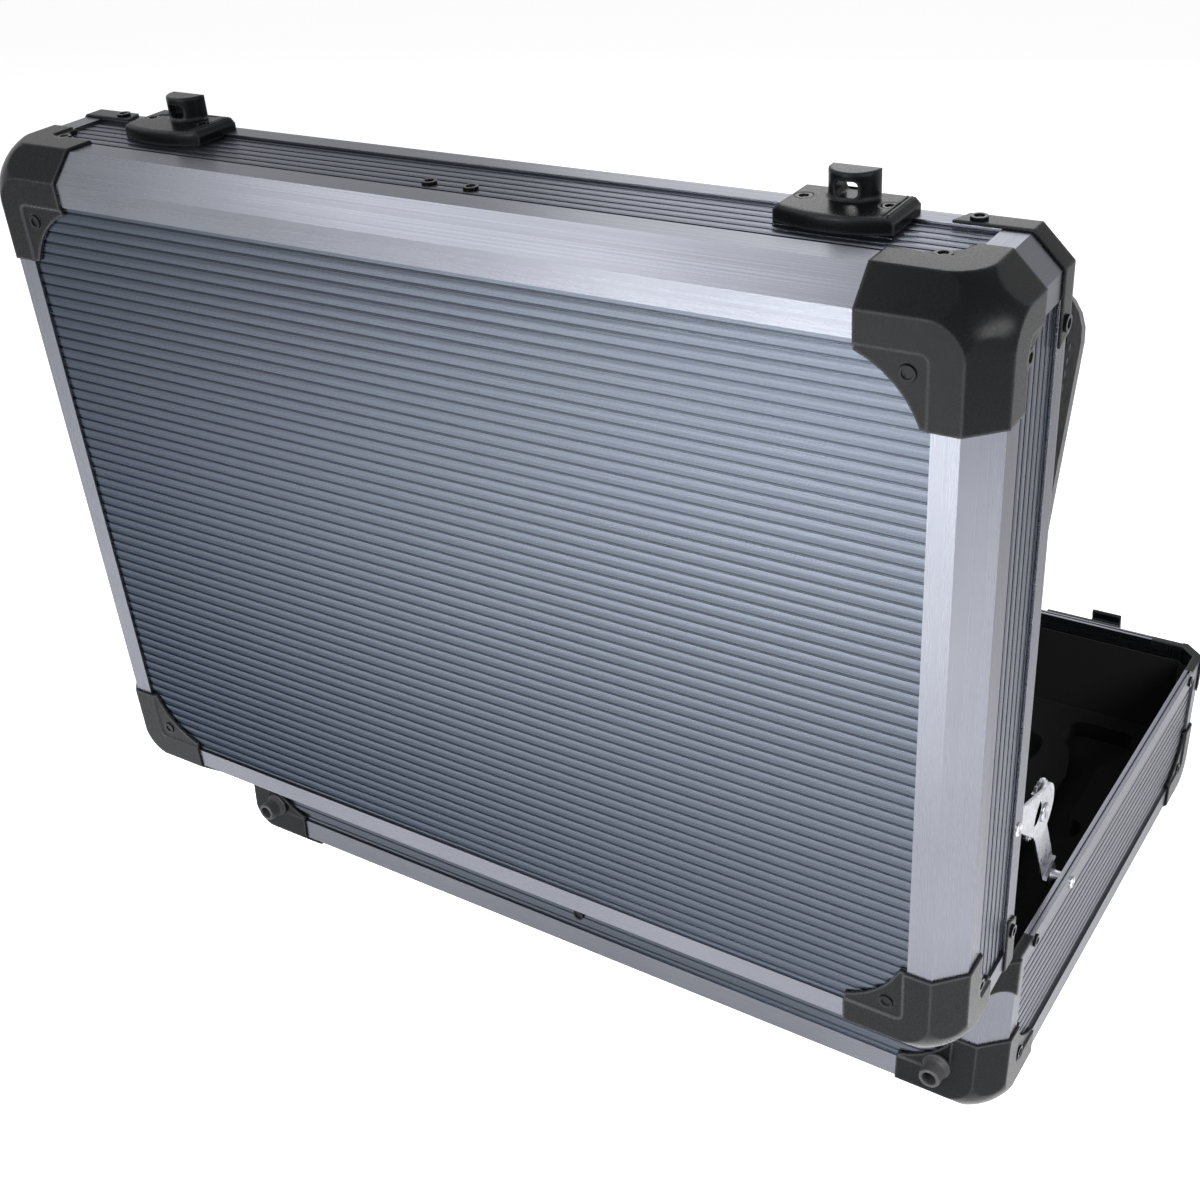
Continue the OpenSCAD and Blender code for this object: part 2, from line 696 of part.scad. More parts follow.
// Latch: a plate with two ears and a pin, drawn at the rim's height and the middle of the case
hasp_y = -half_d - hasp_pivot_out;
hasp_z = -hasp_pivot_down;
latch_rivet_z = [-rim_h - rivet_head_d, -latch_plate_h + rivet_head_d / 2];
module latch_plate() {
    ear_in = hasp_w / 2 + ear_gap;
    difference() {
        translate([0, 0, -latch_down]) on_front(latch_plate_t)
            bowed(latch_plate_w, latch_plate_h, latch_plate_bow);
        core(base_h);
        for (z = latch_rivet_z) plate_rivets(z, latch_plate_t) rivet_hole(wall_t + latch_plate_t);
    }
    for (s = [0, 1]) mirror([s, 0, 0]) translate([ear_in, hasp_y, hasp_z]) rotate([90, 0, 90])
        linear_extrude(ear_t) {
            circle(d = hasp_eye_d);
            translate([0, -hasp_eye_r]) square([hasp_pivot_out - latch_plate_t, hasp_eye_d]);
        }
    translate([-ear_in - ear_t, hasp_y, hasp_z]) rotate([0, 90, 0])
        cylinder(d = hasp_pin_d, h = 2 * (ear_in + ear_t));
}
// Hasp: closed upright, its pivot at the origin; x of the outline points into the case
hasp_in = block_out + hasp_gap - hasp_pivot_out;
hasp_top = hasp_pivot_down + rim_gap + block_down + block_side + block_bow + hasp_gap;
module hasp() rotate([hasp_lean, 0, 0]) difference() {
    along_x(hasp_w) {
        circle(r = hasp_eye_r);
        polygon([
            [0, hasp_eye_r], [-hasp_in, hasp_bend_up], [-hasp_in, hasp_top], [-hasp_in + hasp_hook, hasp_top],
            [-hasp_in + hasp_hook, hasp_top + hasp_t], [-hasp_in - hasp_t - hasp_lip, hasp_top + hasp_t],
            [-hasp_in - hasp_t - hasp_lip, hasp_top], [-hasp_in - hasp_t, hasp_top],
            [-hasp_in - hasp_t, hasp_bend_up], [-hasp_eye_r, 0]
        ]);
    }
    rotate([0, 90, 0]) cylinder(d = hasp_pin_d + 2 * pin_play, h = hasp_w + 2 * over, center = true);
}
module place_latch(x) translate([x, 0, rim_z]) children();
module place_hasp(x) translate([x, hasp_y, rim_z + hasp_z]) children();

// Keeper: a plate with a slotted block, drawn on the front wall of a half case
keeper_rivet_z = -keeper_down - keeper_h / 2;
module keeper() {
    difference() {
        intersection() {
            translate([0, 0, -keeper_down]) on_front(keeper_t) bowed(keeper_w, keeper_h, keeper_bow);
            translate([0, -half_d, -lid_h]) linear_extrude(lid_h) bevelled_strip();
        }
        core(lid_h);
        plate_rivets(keeper_rivet_z, keeper_t) rivet_hole(wall_t + keeper_t);
    }
    slot_z = -block_down - block_side - block_bow;
    difference() {
        translate([0, -half_d - keeper_t, -block_down]) rotate([90, 0, 0])
            linear_extrude(block_out - keeper_t) bowed(block_w, block_side, block_bow);
        translate([0, -half_d - slot_out - slot_h / 2, slot_z - over])
            linear_extrude(block_side + block_bow + 2 * over)
            offset(r = slot_r) square([slot_w - 2 * slot_r, slot_h - 2 * slot_r], center = true);
    }
}
// Section in (x, y) of the keeper's plate, its two ends bevelled
module bevelled_strip() {
    x = keeper_w / 2;
    polygon([
        [-x, wall_t], [-x, keeper_bevel - keeper_t], [-x + keeper_bevel, -keeper_t],
        [x - keeper_bevel, -keeper_t], [x, keeper_bevel - keeper_t], [x, wall_t]
    ]);
}

// Handle bracket: a plate with two ears and a pin, drawn at the rim's height
handle_y = -half_d + skin_t - handle_out;
handle_z = -handle_down;
module handle_bracket() {
    ear_in = handle_arm_w / 2 + ear_gap;
    plate_y = -half_d + skin_t - bracket_t;
    difference() {
        translate([-bracket_plate.x / 2, plate_y, handle_z - bracket_plate.y / 2])
            cube([bracket_plate.x, bracket_t, bracket_plate.y]);
        bracket_rivets() rivet_hole(bracket_t + panel_t);
    }
    for (s = [0, 1]) mirror([s, 0, 0]) translate([ear_in, handle_y, handle_z]) rotate([90, 0, 90])
        linear_extrude(ear_t) {
            circle(d = handle_eye_d);
            translate([0, -handle_eye_d / 2]) square([handle_out - bracket_t, handle_eye_d]);
        }
    translate([-ear_in - ear_t, handle_y, handle_z]) rotate([0, 90, 0])
        cylinder(d = handle_pin_d, h = 2 * (ear_in + ear_t));
}
module bracket_rivets() {
    x = bracket_plate.x / 2 - rivet_head_d * rivet_in_share;
    y = -half_d + skin_t - bracket_t + rivet_head_h;
    for (s = [-1, 1]) translate([s * x, y, handle_z]) facing_y(-1) children();
}

// Carry handle: pivot axis at the origin, hanging down
module handle() {
    grip_y = handle_out - grip_out;
    cone_l = grip_d - grip_end_d;
    difference() {
        for (s = [-1, 1]) translate([s * bracket_x, 0, 0]) along_x(handle_arm_w) {
            circle(d = handle_eye_d);
            polygon([
                [-handle_eye_d / 2, 0], [handle_eye_d / 2, 0],
                [grip_y + grip_end_d / 2, -handle_drop], [grip_y - grip_end_d / 2, -handle_drop]
            ]);
        }
        rotate([0, 90, 0])
            cylinder(d = handle_pin_d + 2 * pin_play, h = 2 * bracket_x + 2 * handle_arm_w, center = true);
    }
    translate([0, grip_y, -handle_drop]) rotate([0, 90, 0]) {
        cylinder(d = grip_end_d, h = 2 * bracket_x + handle_arm_w, center = true);
        cylinder(d = grip_d, h = grip_l - 2 * cone_l, center = true);
        for (s = [0, 1]) mirror([0, 0, s]) translate([0, 0, grip_l / 2 - cone_l])
            cylinder(d1 = grip_d, d2 = grip_end_d, h = cone_l);
    }
}

// Hinge: knuckles of one leaf, round the pivot axis along x
knuckle_l = hinge_len / knuckle_n;
knuckle_r = hinge_out - knuckle_wall_gap;
knuckle_zone = hinge_out + knuckle_clear;
module hinge_leaf(first) difference() {
    union() {
        translate([-hinge_len / 2, -hinge_out, -rim_h]) cube([hinge_len, leaf_t, rim_h - knuckle_zone]);
        for (i = [first:2:knuckle_n - 1])
            translate([-hinge_len / 2 + i * knuckle_l + knuckle_gap / 2, 0, 0]) {
                translate([0, -hinge_out, -knuckle_zone])
                    cube([knuckle_l - knuckle_gap, leaf_t, knuckle_zone]);
                rotate([0, 90, 0]) cylinder(r = knuckle_r, h = knuckle_l - knuckle_gap);
            }
    }
    rotate([0, 90, 0]) cylinder(d = hinge_pin_d + 2 * pin_play, h = hinge_len + 2 * over, center = true);
}

// Stays: pivots in (y, z), with the middle pivot where two equal links meet
hinge_yz = [hinge_y, rim_z];
base_pivot = [half_d - stay_in, rim_z - stay_down];
lid_pivot_closed = [half_d - stay_in, rim_z + stay_down];
function opened(p) = let (d = p - hinge_yz) hinge_yz + [
    d.x * cos(open_angle) + d.y * sin(open_angle),
    d.y * cos(open_angle) - d.x * sin(open_angle)
];
lid_pivot = opened(lid_pivot_closed);
span = norm(lid_pivot - base_pivot);
span_dir = (lid_pivot - base_pivot) / span;
link_l = span / 2 / sin(stay_bend / 2);
mid_pivot = (lid_pivot + base_pivot) / 2 + [-span_dir.y, span_dir.x] * span / 2 / tan(stay_bend / 2);
function angle_of(d) = atan2(d.y, d.x);
inner_x = half_w - wall_t;
upper_x = inner_x - stay_wall_gap - link_t;
lower_x = upper_x - link_gap - stud_head_h - link_t;

// A stud on the inside of the right wall at (y, z), through a link whose inner face is at x
module stud(p, x) translate([0, p.x, p.y]) rotate([0, 90, 0]) {
    translate([0, 0, x - stud_head_h]) cylinder(d = stud_head_d, h = stud_head_h);
    translate([0, 0, x - over / 2]) cylinder(d = stud_d, h = inner_x - x + over / 2);
    translate([0, 0, x + link_t + pin_play]) cylinder(d = stud_foot_d, h = inner_x - x - link_t - pin_play);
}
// A link's outline along +x from its pivot, extruded to the link's thickness
module link(w, end_d, teeth) difference() {
    linear_extrude(link_t) difference() {
        union() {
            circle(d = w);
            translate([0, -w / 2]) square([link_l, w]);
            translate([link_l, 0]) circle(d = end_d);
        }
        if (teeth > 0)
            translate([link_l, 0]) for (i = [0:teeth - 1]) rotate(i * 360 / teeth)
            translate([end_d / 2, 0]) circle(d = tooth_notch_d);
    }
    translate([0, 0, -over]) cylinder(d = stud_d + 2 * pin_play, h = link_t + 2 * over);
}
module stand_link(x, p, a) translate([x, p.x, p.y]) rotate([90, 0, 90]) rotate(a) children();
module lower_link() {
    stand_link(lower_x, base_pivot, angle_of(mid_pivot - base_pivot)) {
        link(lower_link_w, lower_link_w, 0);
        translate([link_l, 0, -stud_head_h]) cylinder(d = stud_head_d, h = stud_head_h);
    }
}
module upper_link() stand_link(upper_x, lid_pivot, angle_of(mid_pivot - lid_pivot))
    link(upper_link_w, tooth_disc_d, tooth_n);

// Organizer panel: pivot at the origin, the panel reaching towards -y, drawn without its lean
module organizer_outline(inset) {
    w = organizer_w / 2 - inset;
    lw = organizer_low_w / 2 - inset;
    top = organizer_l - inset;
    r = organizer_r - inset;
    translate([-lw, -top + r]) square([2 * lw, top - r - inset]);
    translate([-w, -top + r]) square([2 * w, top - organizer_low_l - r - inset]);
    translate([-w + r, -top]) square([2 * (w - r), r + over]);
    for (s = [-1, 1]) translate([s * (w - r), -top + r]) circle(r);
}
module organizer() difference() {
    union() {
        translate([0, 0, -organizer_t / 2]) linear_extrude(organizer_t) organizer_outline(0);
        translate([0, 0, -organizer_t / 2 - binding_t])
            linear_extrude(organizer_t + 2 * binding_t) difference() {
                organizer_outline(0);
                organizer_outline(binding_w);
            }
        rotate([0, 90, 0]) cylinder(d = organizer_sleeve_d, h = organizer_low_w, center = true);
    }
    rotate([0, 90, 0])
        cylinder(d = organizer_rod_d + 2 * pin_play, h = organizer_low_w + 2 * over, center = true);
}
organizer_y = half_d - organizer_pivot_in;
module rod_and_brackets() {
    gap = organizer_low_w / 2 + ear_gap;
    reach = organizer_pivot_in - wall_t - lining_t - rod_bracket_gap;
    translate([0, organizer_y, -organizer_pivot_deep]) rotate([0, 90, 0])
        cylinder(d = organizer_rod_d, h = 2 * (gap + rod_bracket_w), center = true);
    for (s = [0, 1]) mirror([s, 0, 0])
        translate([gap, organizer_y - rod_bracket_t / 2, -organizer_pivot_deep - rod_bracket_t / 2])
            cube([rod_bracket_w, reach + rod_bracket_t / 2, rod_bracket_t]);
}

// Recesses cut into the foam, in plan
hammer_pos = [hammer_in.x - half_w, hammer_in.y - half_d];
block_pos = [half_w - block_in.x, block_in.y - half_d];
pliers_pos = [half_w - pliers_in.x, half_d - pliers_in.y];
module recesses() {
    translate(hammer_pos) square(hammer_head, center = true);
    translate([hammer_pos.x - hammer_handle.x / 2, hammer_pos.y]) square(hammer_handle);
    translate(spanner_pos) {
        square(spanner, center = true);
        for (s = [-1, 1]) translate([0, s * spanner.y / 2]) circle(d = spanner_ring_d);
    }
    for (i = [0:driver_n - 1]) translate([driver_pos.x + i * driver_pitch, driver_pos.y]) {
        translate([-driver_grip.x / 2, 0]) square(driver_grip);
        translate([-driver_blade.x / 2, -driver_blade.y]) square([driver_blade.x, driver_blade.y + over]);
    }
    translate(block_pos) square(block, center = true);
    translate(pliers_pos) square(pliers, center = true);
}

// The lid's half case on the hinge: turned over, set on the rim and swung open
module swing() translate([0, hinge_y, rim_z]) rotate([-open_angle, 0, 0]) translate([0, -hinge_y, -rim_z])
    children();
module lid() swing() translate([0, 0, rim_z + rim_gap]) mirror([0, 0, 1]) children();
module base() translate([0, 0, rim_z]) children();

// The sub-parts
module base_front_holes() {
    for (x = [-latch_x, latch_x], z = latch_rivet_z)
        translate([x, 0, 0]) plate_rivets(z, latch_plate_t) rivet_hole(wall_t + latch_plate_t);
    for (x = [-bracket_x, bracket_x]) translate([x, 0, 0]) bracket_rivets() rivet_hole(bracket_t + panel_t);
}
module lid_front_holes() {
    lid_pair() rivet_hole(panel_t);
    for (x = [-latch_x, latch_x])
        translate([x, 0, 0]) plate_rivets(keeper_rivet_z, keeper_t) rivet_hole(wall_t + keeper_t);
}
module base_bottom_panel() color("lightslategray") base() face_panel(base_h);
module base_front_panel() color("lightslategray") base() wall_panel(0, base_h) base_front_holes();
module base_rear_panel() color("lightslategray") base()
    wall_panel(1, base_h) rear_rivet() rivet_hole(panel_t);
module base_left_panel() color("lightslategray") base() wall_panel(2, base_h);
module base_right_panel() color("lightslategray") base() wall_panel(3, base_h);
module base_front_trim() color("silver") base() trim(0, base_h);
module base_rear_trim() color("silver") base() trim(1, base_h);
module base_left_trim() color("silver") base() trim(2, base_h);
module base_right_trim() color("silver") base() trim(3, base_h);
module base_corner_posts() color("silver") base() corner_posts(base_h);
module base_rim_frame() color("silver") base()
    rim_frame(rim_cover_reach) rim_rivets() rivet_shaft(skin_t);
module base_rim_plates() color("#26282c") base() each_corner() base_rim_plate();
module base_rivets() color("silver") base() {
    cap_rivets(base_h) rivet(skin_t + panel_t);
    rim_rivets() rivet(skin_t);
    rear_rivet() rivet(panel_t);
    for (x = [-latch_x, latch_x], z = latch_rivet_z) translate([x, 0, 0])
        plate_rivets(z, latch_plate_t) rivet(latch_plate_t - rivet_head_h + skin_t + panel_t);
    for (x = [-bracket_x, bracket_x])
        translate([x, 0, 0]) bracket_rivets() rivet(bracket_t - rivet_head_h + panel_t);
}
module base_feet() color("#26282c") base() feet(base_h);
module base_cap_front_left() color("#26282c") base() cap_at(1, 1, base_h, base_cap_h);
module base_cap_front_right() color("#26282c") base() cap_at(0, 1, base_h, base_cap_h);
module base_cap_rear_left() color("#26282c") base() cap_at(1, 0, base_h, base_cap_h);
module base_cap_rear_right() color("#26282c") base() cap_at(0, 0, base_h, base_cap_h);
module base_lining() color("#17181a") base() lining(base_h);
module foam_insert() color("#17181a") base() difference() {
    half_block(base_h, -wall_t - lining_t - foam_gap);
    translate([-case_w, -case_d, -base_h + foam_top]) cube([2 * case_w, 2 * case_d, base_h]);
    translate([0, 0, -base_h + foam_top - recess_d]) linear_extrude(recess_d + over) recesses();
}
module hinge_base_leaf() color("gainsboro") translate([0, hinge_y, rim_z]) hinge_leaf(0);
module hinge_pin() color("gainsboro") translate([0, hinge_y, rim_z]) rotate([0, 90, 0]) {
    cylinder(d = hinge_pin_d, h = hinge_len, center = true);
    for (s = [0, 1]) mirror([0, 0, s]) translate([0, 0, hinge_len / 2]) cylinder(r = knuckle_r, h = leaf_t);
}
module left_latch_plate() color("#26282c") place_latch(-latch_x) latch_plate();
module right_latch_plate() color("#26282c") place_latch(latch_x) latch_plate();
module left_handle_bracket() color("#26282c") translate([-bracket_x, 0, rim_z]) handle_bracket();
module right_handle_bracket() color("#26282c") translate([bracket_x, 0, rim_z]) handle_bracket();
module stay_base_studs() color("gainsboro") for (s = [0, 1]) mirror([s, 0, 0]) stud(base_pivot, lower_x);
module lid_face_panel() color("lightslategray") lid() face_panel(lid_h);
module lid_front_panel() color("lightslategray") lid() wall_panel(0, lid_h) lid_front_holes();
module lid_rear_panel() color("lightslategray") lid() wall_panel(1, lid_h);
module lid_left_panel() color("lightslategray") lid() wall_panel(2, lid_h);
module lid_right_panel() color("lightslategray") lid() wall_panel(3, lid_h);
module lid_front_trim() color("silver") lid() trim(0, lid_h);
module lid_rear_trim() color("silver") lid() trim(1, lid_h);
module lid_left_trim() color("silver") lid() trim(2, lid_h);
module lid_right_trim() color("silver") lid() trim(3, lid_h);
module lid_corner_posts() color("silver") lid() corner_posts(lid_h);
module lid_rim_frame() color("silver") lid()
    rim_frame(edge_w) lid_plate_rivets() rivet_shaft(plate_t + skin_t);
module lid_rim_plates() color("#26282c") lid() difference() {
    each_corner() lid_rim_plate();
    lid_plate_rivets() rivet_shaft(plate_t);
}
module lid_rivets() color("silver") lid() {
    cap_rivets(lid_h) rivet(skin_t + panel_t);
    lid_plate_rivets() rivet(plate_t + skin_t);
    lid_pair() rivet(panel_t);
    for (x = [-latch_x, latch_x]) translate([x, 0, 0])
        plate_rivets(keeper_rivet_z, keeper_t) rivet(keeper_t - rivet_head_h + skin_t + panel_t);
}
module lid_feet() color("#26282c") lid() feet(lid_h);
module lid_cap_front_left() color("#26282c") lid() cap_at(1, 1, lid_h, lid_cap_h);
module lid_cap_front_right() color("#26282c") lid() cap_at(0, 1, lid_h, lid_cap_h);
module lid_cap_rear_left() color("#26282c") lid() cap_at(1, 0, lid_h, lid_cap_h);
module lid_cap_rear_right() color("#26282c") lid() cap_at(0, 0, lid_h, lid_cap_h);
module lid_lining() color("#17181a") lid() lining(lid_h);
module hinge_lid_leaf() color("gainsboro") swing()
    translate([0, hinge_y, rim_z]) mirror([0, 0, 1]) hinge_leaf(1);
module left_keeper() color("#26282c") lid() translate([-latch_x, 0, 0]) keeper();
module right_keeper() color("#26282c") lid() translate([latch_x, 0, 0]) keeper();
module stay_lid_studs() color("gainsboro") for (s = [0, 1]) mirror([s, 0, 0]) stud(lid_pivot, upper_x);
module organizer_rod() color("gainsboro") lid() rod_and_brackets();
module lid_organizer() color("#17181a") lid() translate([0, organizer_y, -organizer_pivot_deep])
    rotate([-organizer_lean, 0, 0]) organizer();
module left_latch_hasp() color("#26282c") place_hasp(-latch_x) hasp();
module right_latch_hasp() color("#26282c") place_hasp(latch_x) hasp();
module carry_handle() color("#26282c") translate([0, handle_y, rim_z + handle_z]) handle();
module left_stay_lower_link() color("gainsboro") mirror([1, 0, 0]) lower_link();
module right_stay_lower_link() color("gainsboro") lower_link();
module left_stay_upper_link() color("gainsboro") mirror([1, 0, 0]) upper_link();
module right_stay_upper_link() color("gainsboro") upper_link();

base_bottom_panel();
base_front_panel();
base_rear_panel();
base_left_panel();
base_right_panel();
base_front_trim();
base_rear_trim();
base_left_trim();
base_right_trim();
base_corner_posts();
base_rim_frame();
base_rim_plates();
base_rivets();
base_feet();
base_cap_front_left();
base_cap_front_right();
base_cap_rear_left();
base_cap_rear_right();
base_lining();
foam_insert();
hinge_base_leaf();
hinge_pin();
left_latch_plate();
right_latch_plate();
left_handle_bracket();
right_handle_bracket();
stay_base_studs();
lid_face_panel();
lid_front_panel();
lid_rear_panel();
lid_left_panel();
lid_right_panel();
lid_front_trim();
lid_rear_trim();
lid_left_trim();
lid_right_trim();
lid_corner_posts();
lid_rim_frame();
lid_rim_plates();
lid_rivets();
lid_feet();
lid_cap_front_left();
lid_cap_front_right();
lid_cap_rear_left();
lid_cap_rear_right();
lid_lining();
hinge_lid_leaf();
left_keeper();
right_keeper();
stay_lid_studs();
organizer_rod();
lid_organizer();
left_latch_hasp();
right_latch_hasp();
carry_handle();
left_stay_lower_link();
right_stay_lower_link();
left_stay_upper_link();
right_stay_upper_link();
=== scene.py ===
"""Dresses the aluminium tool case: materials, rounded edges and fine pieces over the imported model."""
import json
import math

import bmesh
import bpy
from mathutils import Matrix, Vector


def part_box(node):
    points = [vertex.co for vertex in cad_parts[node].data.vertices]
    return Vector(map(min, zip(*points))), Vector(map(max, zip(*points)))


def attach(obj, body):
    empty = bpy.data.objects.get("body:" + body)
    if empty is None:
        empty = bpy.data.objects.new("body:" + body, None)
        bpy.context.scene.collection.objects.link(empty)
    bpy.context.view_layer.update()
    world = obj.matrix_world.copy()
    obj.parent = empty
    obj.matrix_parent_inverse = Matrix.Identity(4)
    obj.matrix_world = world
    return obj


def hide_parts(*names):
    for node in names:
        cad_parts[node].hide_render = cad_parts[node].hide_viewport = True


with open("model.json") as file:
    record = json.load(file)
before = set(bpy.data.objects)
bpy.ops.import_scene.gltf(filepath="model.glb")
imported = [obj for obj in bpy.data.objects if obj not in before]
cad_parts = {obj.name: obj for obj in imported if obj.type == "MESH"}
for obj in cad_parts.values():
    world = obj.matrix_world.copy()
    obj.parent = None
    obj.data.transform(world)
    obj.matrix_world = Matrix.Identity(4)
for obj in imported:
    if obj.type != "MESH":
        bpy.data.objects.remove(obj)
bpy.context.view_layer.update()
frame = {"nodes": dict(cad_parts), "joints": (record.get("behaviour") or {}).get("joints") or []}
NODES = frame["nodes"]
JOINTS = {joint["name"]: joint for joint in frame["joints"]}
MM = 0.001
WELD = 0.002 * MM
TINY = 0.001 * MM
X, Y, Z = range(3)
LID_HINGE = Vector(JOINTS["lid_hinge"]["pos_m"])
OPEN_ANGLE = JOINTS["lid_hinge"]["range_deg"][1]


# Camera and light

CAMERA_PLACE = Vector((-371.5, 691.7, 550.7)) * MM
CAMERA_HEADING = math.radians(-56.70)
CAMERA_PITCH = math.radians(-27.675)
CAMERA_ROLL = math.radians(-1.548)
NEAREST_SEEN = 20 * MM
SENSOR_WIDTH = 36
PHOTO_PIXELS = 1200
FOCAL_PIXELS = 1587.4


def add_camera():
    """The photograph's view: from behind the case, above it and to the left of its back."""
    level = math.cos(CAMERA_PITCH)
    east, north = math.cos(CAMERA_HEADING), math.sin(CAMERA_HEADING)
    ahead = Vector((level * east, level * north, math.sin(CAMERA_PITCH)))
    right = ahead.cross(Vector((0, 0, 1))).normalized()
    right.rotate(Matrix.Rotation(-CAMERA_ROLL, 3, ahead))
    up = right.cross(ahead)
    data = bpy.data.cameras.new("camera")
    data.sensor_width = SENSOR_WIDTH
    data.lens = SENSOR_WIDTH * FOCAL_PIXELS / PHOTO_PIXELS
    data.clip_start = NEAREST_SEEN
    camera = bpy.data.objects.new("camera", data)
    turn = Matrix((right, up, -ahead)).transposed()
    camera.matrix_world = Matrix.Translation(CAMERA_PLACE) @ turn.to_4x4()
    bpy.context.scene.collection.objects.link(camera)
    bpy.context.scene.camera = camera


LAMPS = {
    "overhead_lamp": {"place": (0.95, 0.95, 1.75), "aim": (0, 0.2, 0.4), "size": 0.9, "power": 9.5},
    "behind_lamp": {"place": (0.12, 0.98, 0.5), "aim": (0.12, 0.96, 0), "size": 0.45, "power": 26},
    "left_lamp": {"place": (-0.66, 0.36, 0.5), "aim": (-0.64, 0.35, 0), "size": 0.4, "power": 8},
    "front_lamp": {"place": (0.6, -1.6, 1.4), "aim": (0, 0, 0.1), "size": 1.3, "power": 9}
}


def add_lamp(name, place, aim, size, power):
    """A round soft lamp that faces its aim. Places and sizes are in metres, the power in watts."""
    data = bpy.data.lights.new(name, "AREA")
    data.shape = "DISK"
    data.size = size
    data.energy = power
    lamp = bpy.data.objects.new(name, data)
    lamp.location = place
    lamp.rotation_euler = (Vector(aim) - Vector(place)).to_track_quat("-Z", "Y").to_euler()
    bpy.context.scene.collection.objects.link(lamp)


def add_lights():
    """A soft lamp overhead and one in front, and two low ones that brighten the floor beside the case."""
    for name, lamp in LAMPS.items():
        add_lamp(name, **lamp)


WHITE = (1, 1, 1, 1)
WORLD_FILL = 0.25
WORLD_SEEN = 1.0
FLOOR_GLOW = 0.72
FLOOR_REACH = 12
FLOOR_COLOUR = (0.9, 0.9, 0.9, 1)
FLOOR_ROUGHNESS = 0.9
FLOOR_SPECULAR = 0.1


def looks_past(tree):
    """One for rays from the camera, off a gloss or through glass, which see the white background."""
    paths = tree.nodes.new("ShaderNodeLightPath")
    either = tree.nodes.new("ShaderNodeMath")
    either.operation = "MAXIMUM"
    tree.links.new(paths.outputs["Is Camera Ray"], either.inputs[0])
    tree.links.new(paths.outputs["Is Transmission Ray"], either.inputs[1])
    any_of_them = tree.nodes.new("ShaderNodeMath")
    any_of_them.operation = "MAXIMUM"
    tree.links.new(either.outputs[0], any_of_them.inputs[0])
    tree.links.new(paths.outputs["Is Glossy Ray"], any_of_them.inputs[1])
    return any_of_them.outputs[0]


def add_world():
    """Even pale light from all around, and plain white wherever a ray looks past the case."""
    world = bpy.data.worlds.new("studio")
    world.use_nodes = True
    bpy.context.scene.world = world
    tree = world.node_tree
    background = tree.nodes["Background"]
    background.inputs["Color"].default_value = WHITE
    strength = tree.nodes.new("ShaderNodeMapRange")
    strength.inputs["To Min"].default_value = WORLD_FILL
    strength.inputs["To Max"].default_value = WORLD_SEEN
    tree.links.new(looks_past(tree), strength.inputs["Value"])
    tree.links.new(strength.outputs["Result"], background.inputs["Strength"])


def add_floor():
    """A pale floor that glows a little where it is seen, so that it is white around the case's shadow."""
    mesh = bpy.data.meshes.new("floor")
    shape = bmesh.new()
    bmesh.ops.create_grid(shape, x_segments=1, y_segments=1, size=FLOOR_REACH)
    shape.to_mesh(mesh)
    shape.free()
    floor = bpy.data.objects.new("floor", mesh)
    bpy.context.scene.collection.objects.link(floor)
    material = bpy.data.materials.new("pale_floor")
    material.use_nodes = True
    tree = material.node_tree
    shader = tree.nodes["Principled BSDF"]
    shader.inputs["Base Color"].default_value = FLOOR_COLOUR
    shader.inputs["Roughness"].default_value = FLOOR_ROUGHNESS
    shader.inputs["Specular IOR Level"].default_value = FLOOR_SPECULAR
    shader.inputs["Emission Color"].default_value = WHITE
    glow = tree.nodes.new("ShaderNodeMath")
    glow.operation = "MULTIPLY"
    glow.inputs[1].default_value = FLOOR_GLOW
    tree.links.new(looks_past(tree), glow.inputs[0])
    tree.links.new(glow.outputs[0], shader.inputs["Emission Strength"])
    mesh.materials.append(material)


# Materials

RIB_PITCH = 5 * MM
RIB_RISE = 0.16 * MM
GROOVE_Z = {"base": 51.25 * MM, "lid": 119.15 * MM}
# Where, along a rib's wave height, the painted shade in the groove ends
GROOVE_SHADE_END = 0.08
# How bright a sheet is at a slant: the face panels have their ribs across y, the walls across z
GRAZING_SHINE = {Y: 0.12, Z: 0.78}
GRAZING_BLUE = 1.05
MARK_DEPTH = 0.02 * MM
EDGE_SAMPLES = 6
MIDDLE_OF_NOISE = (0.3, 0.7)


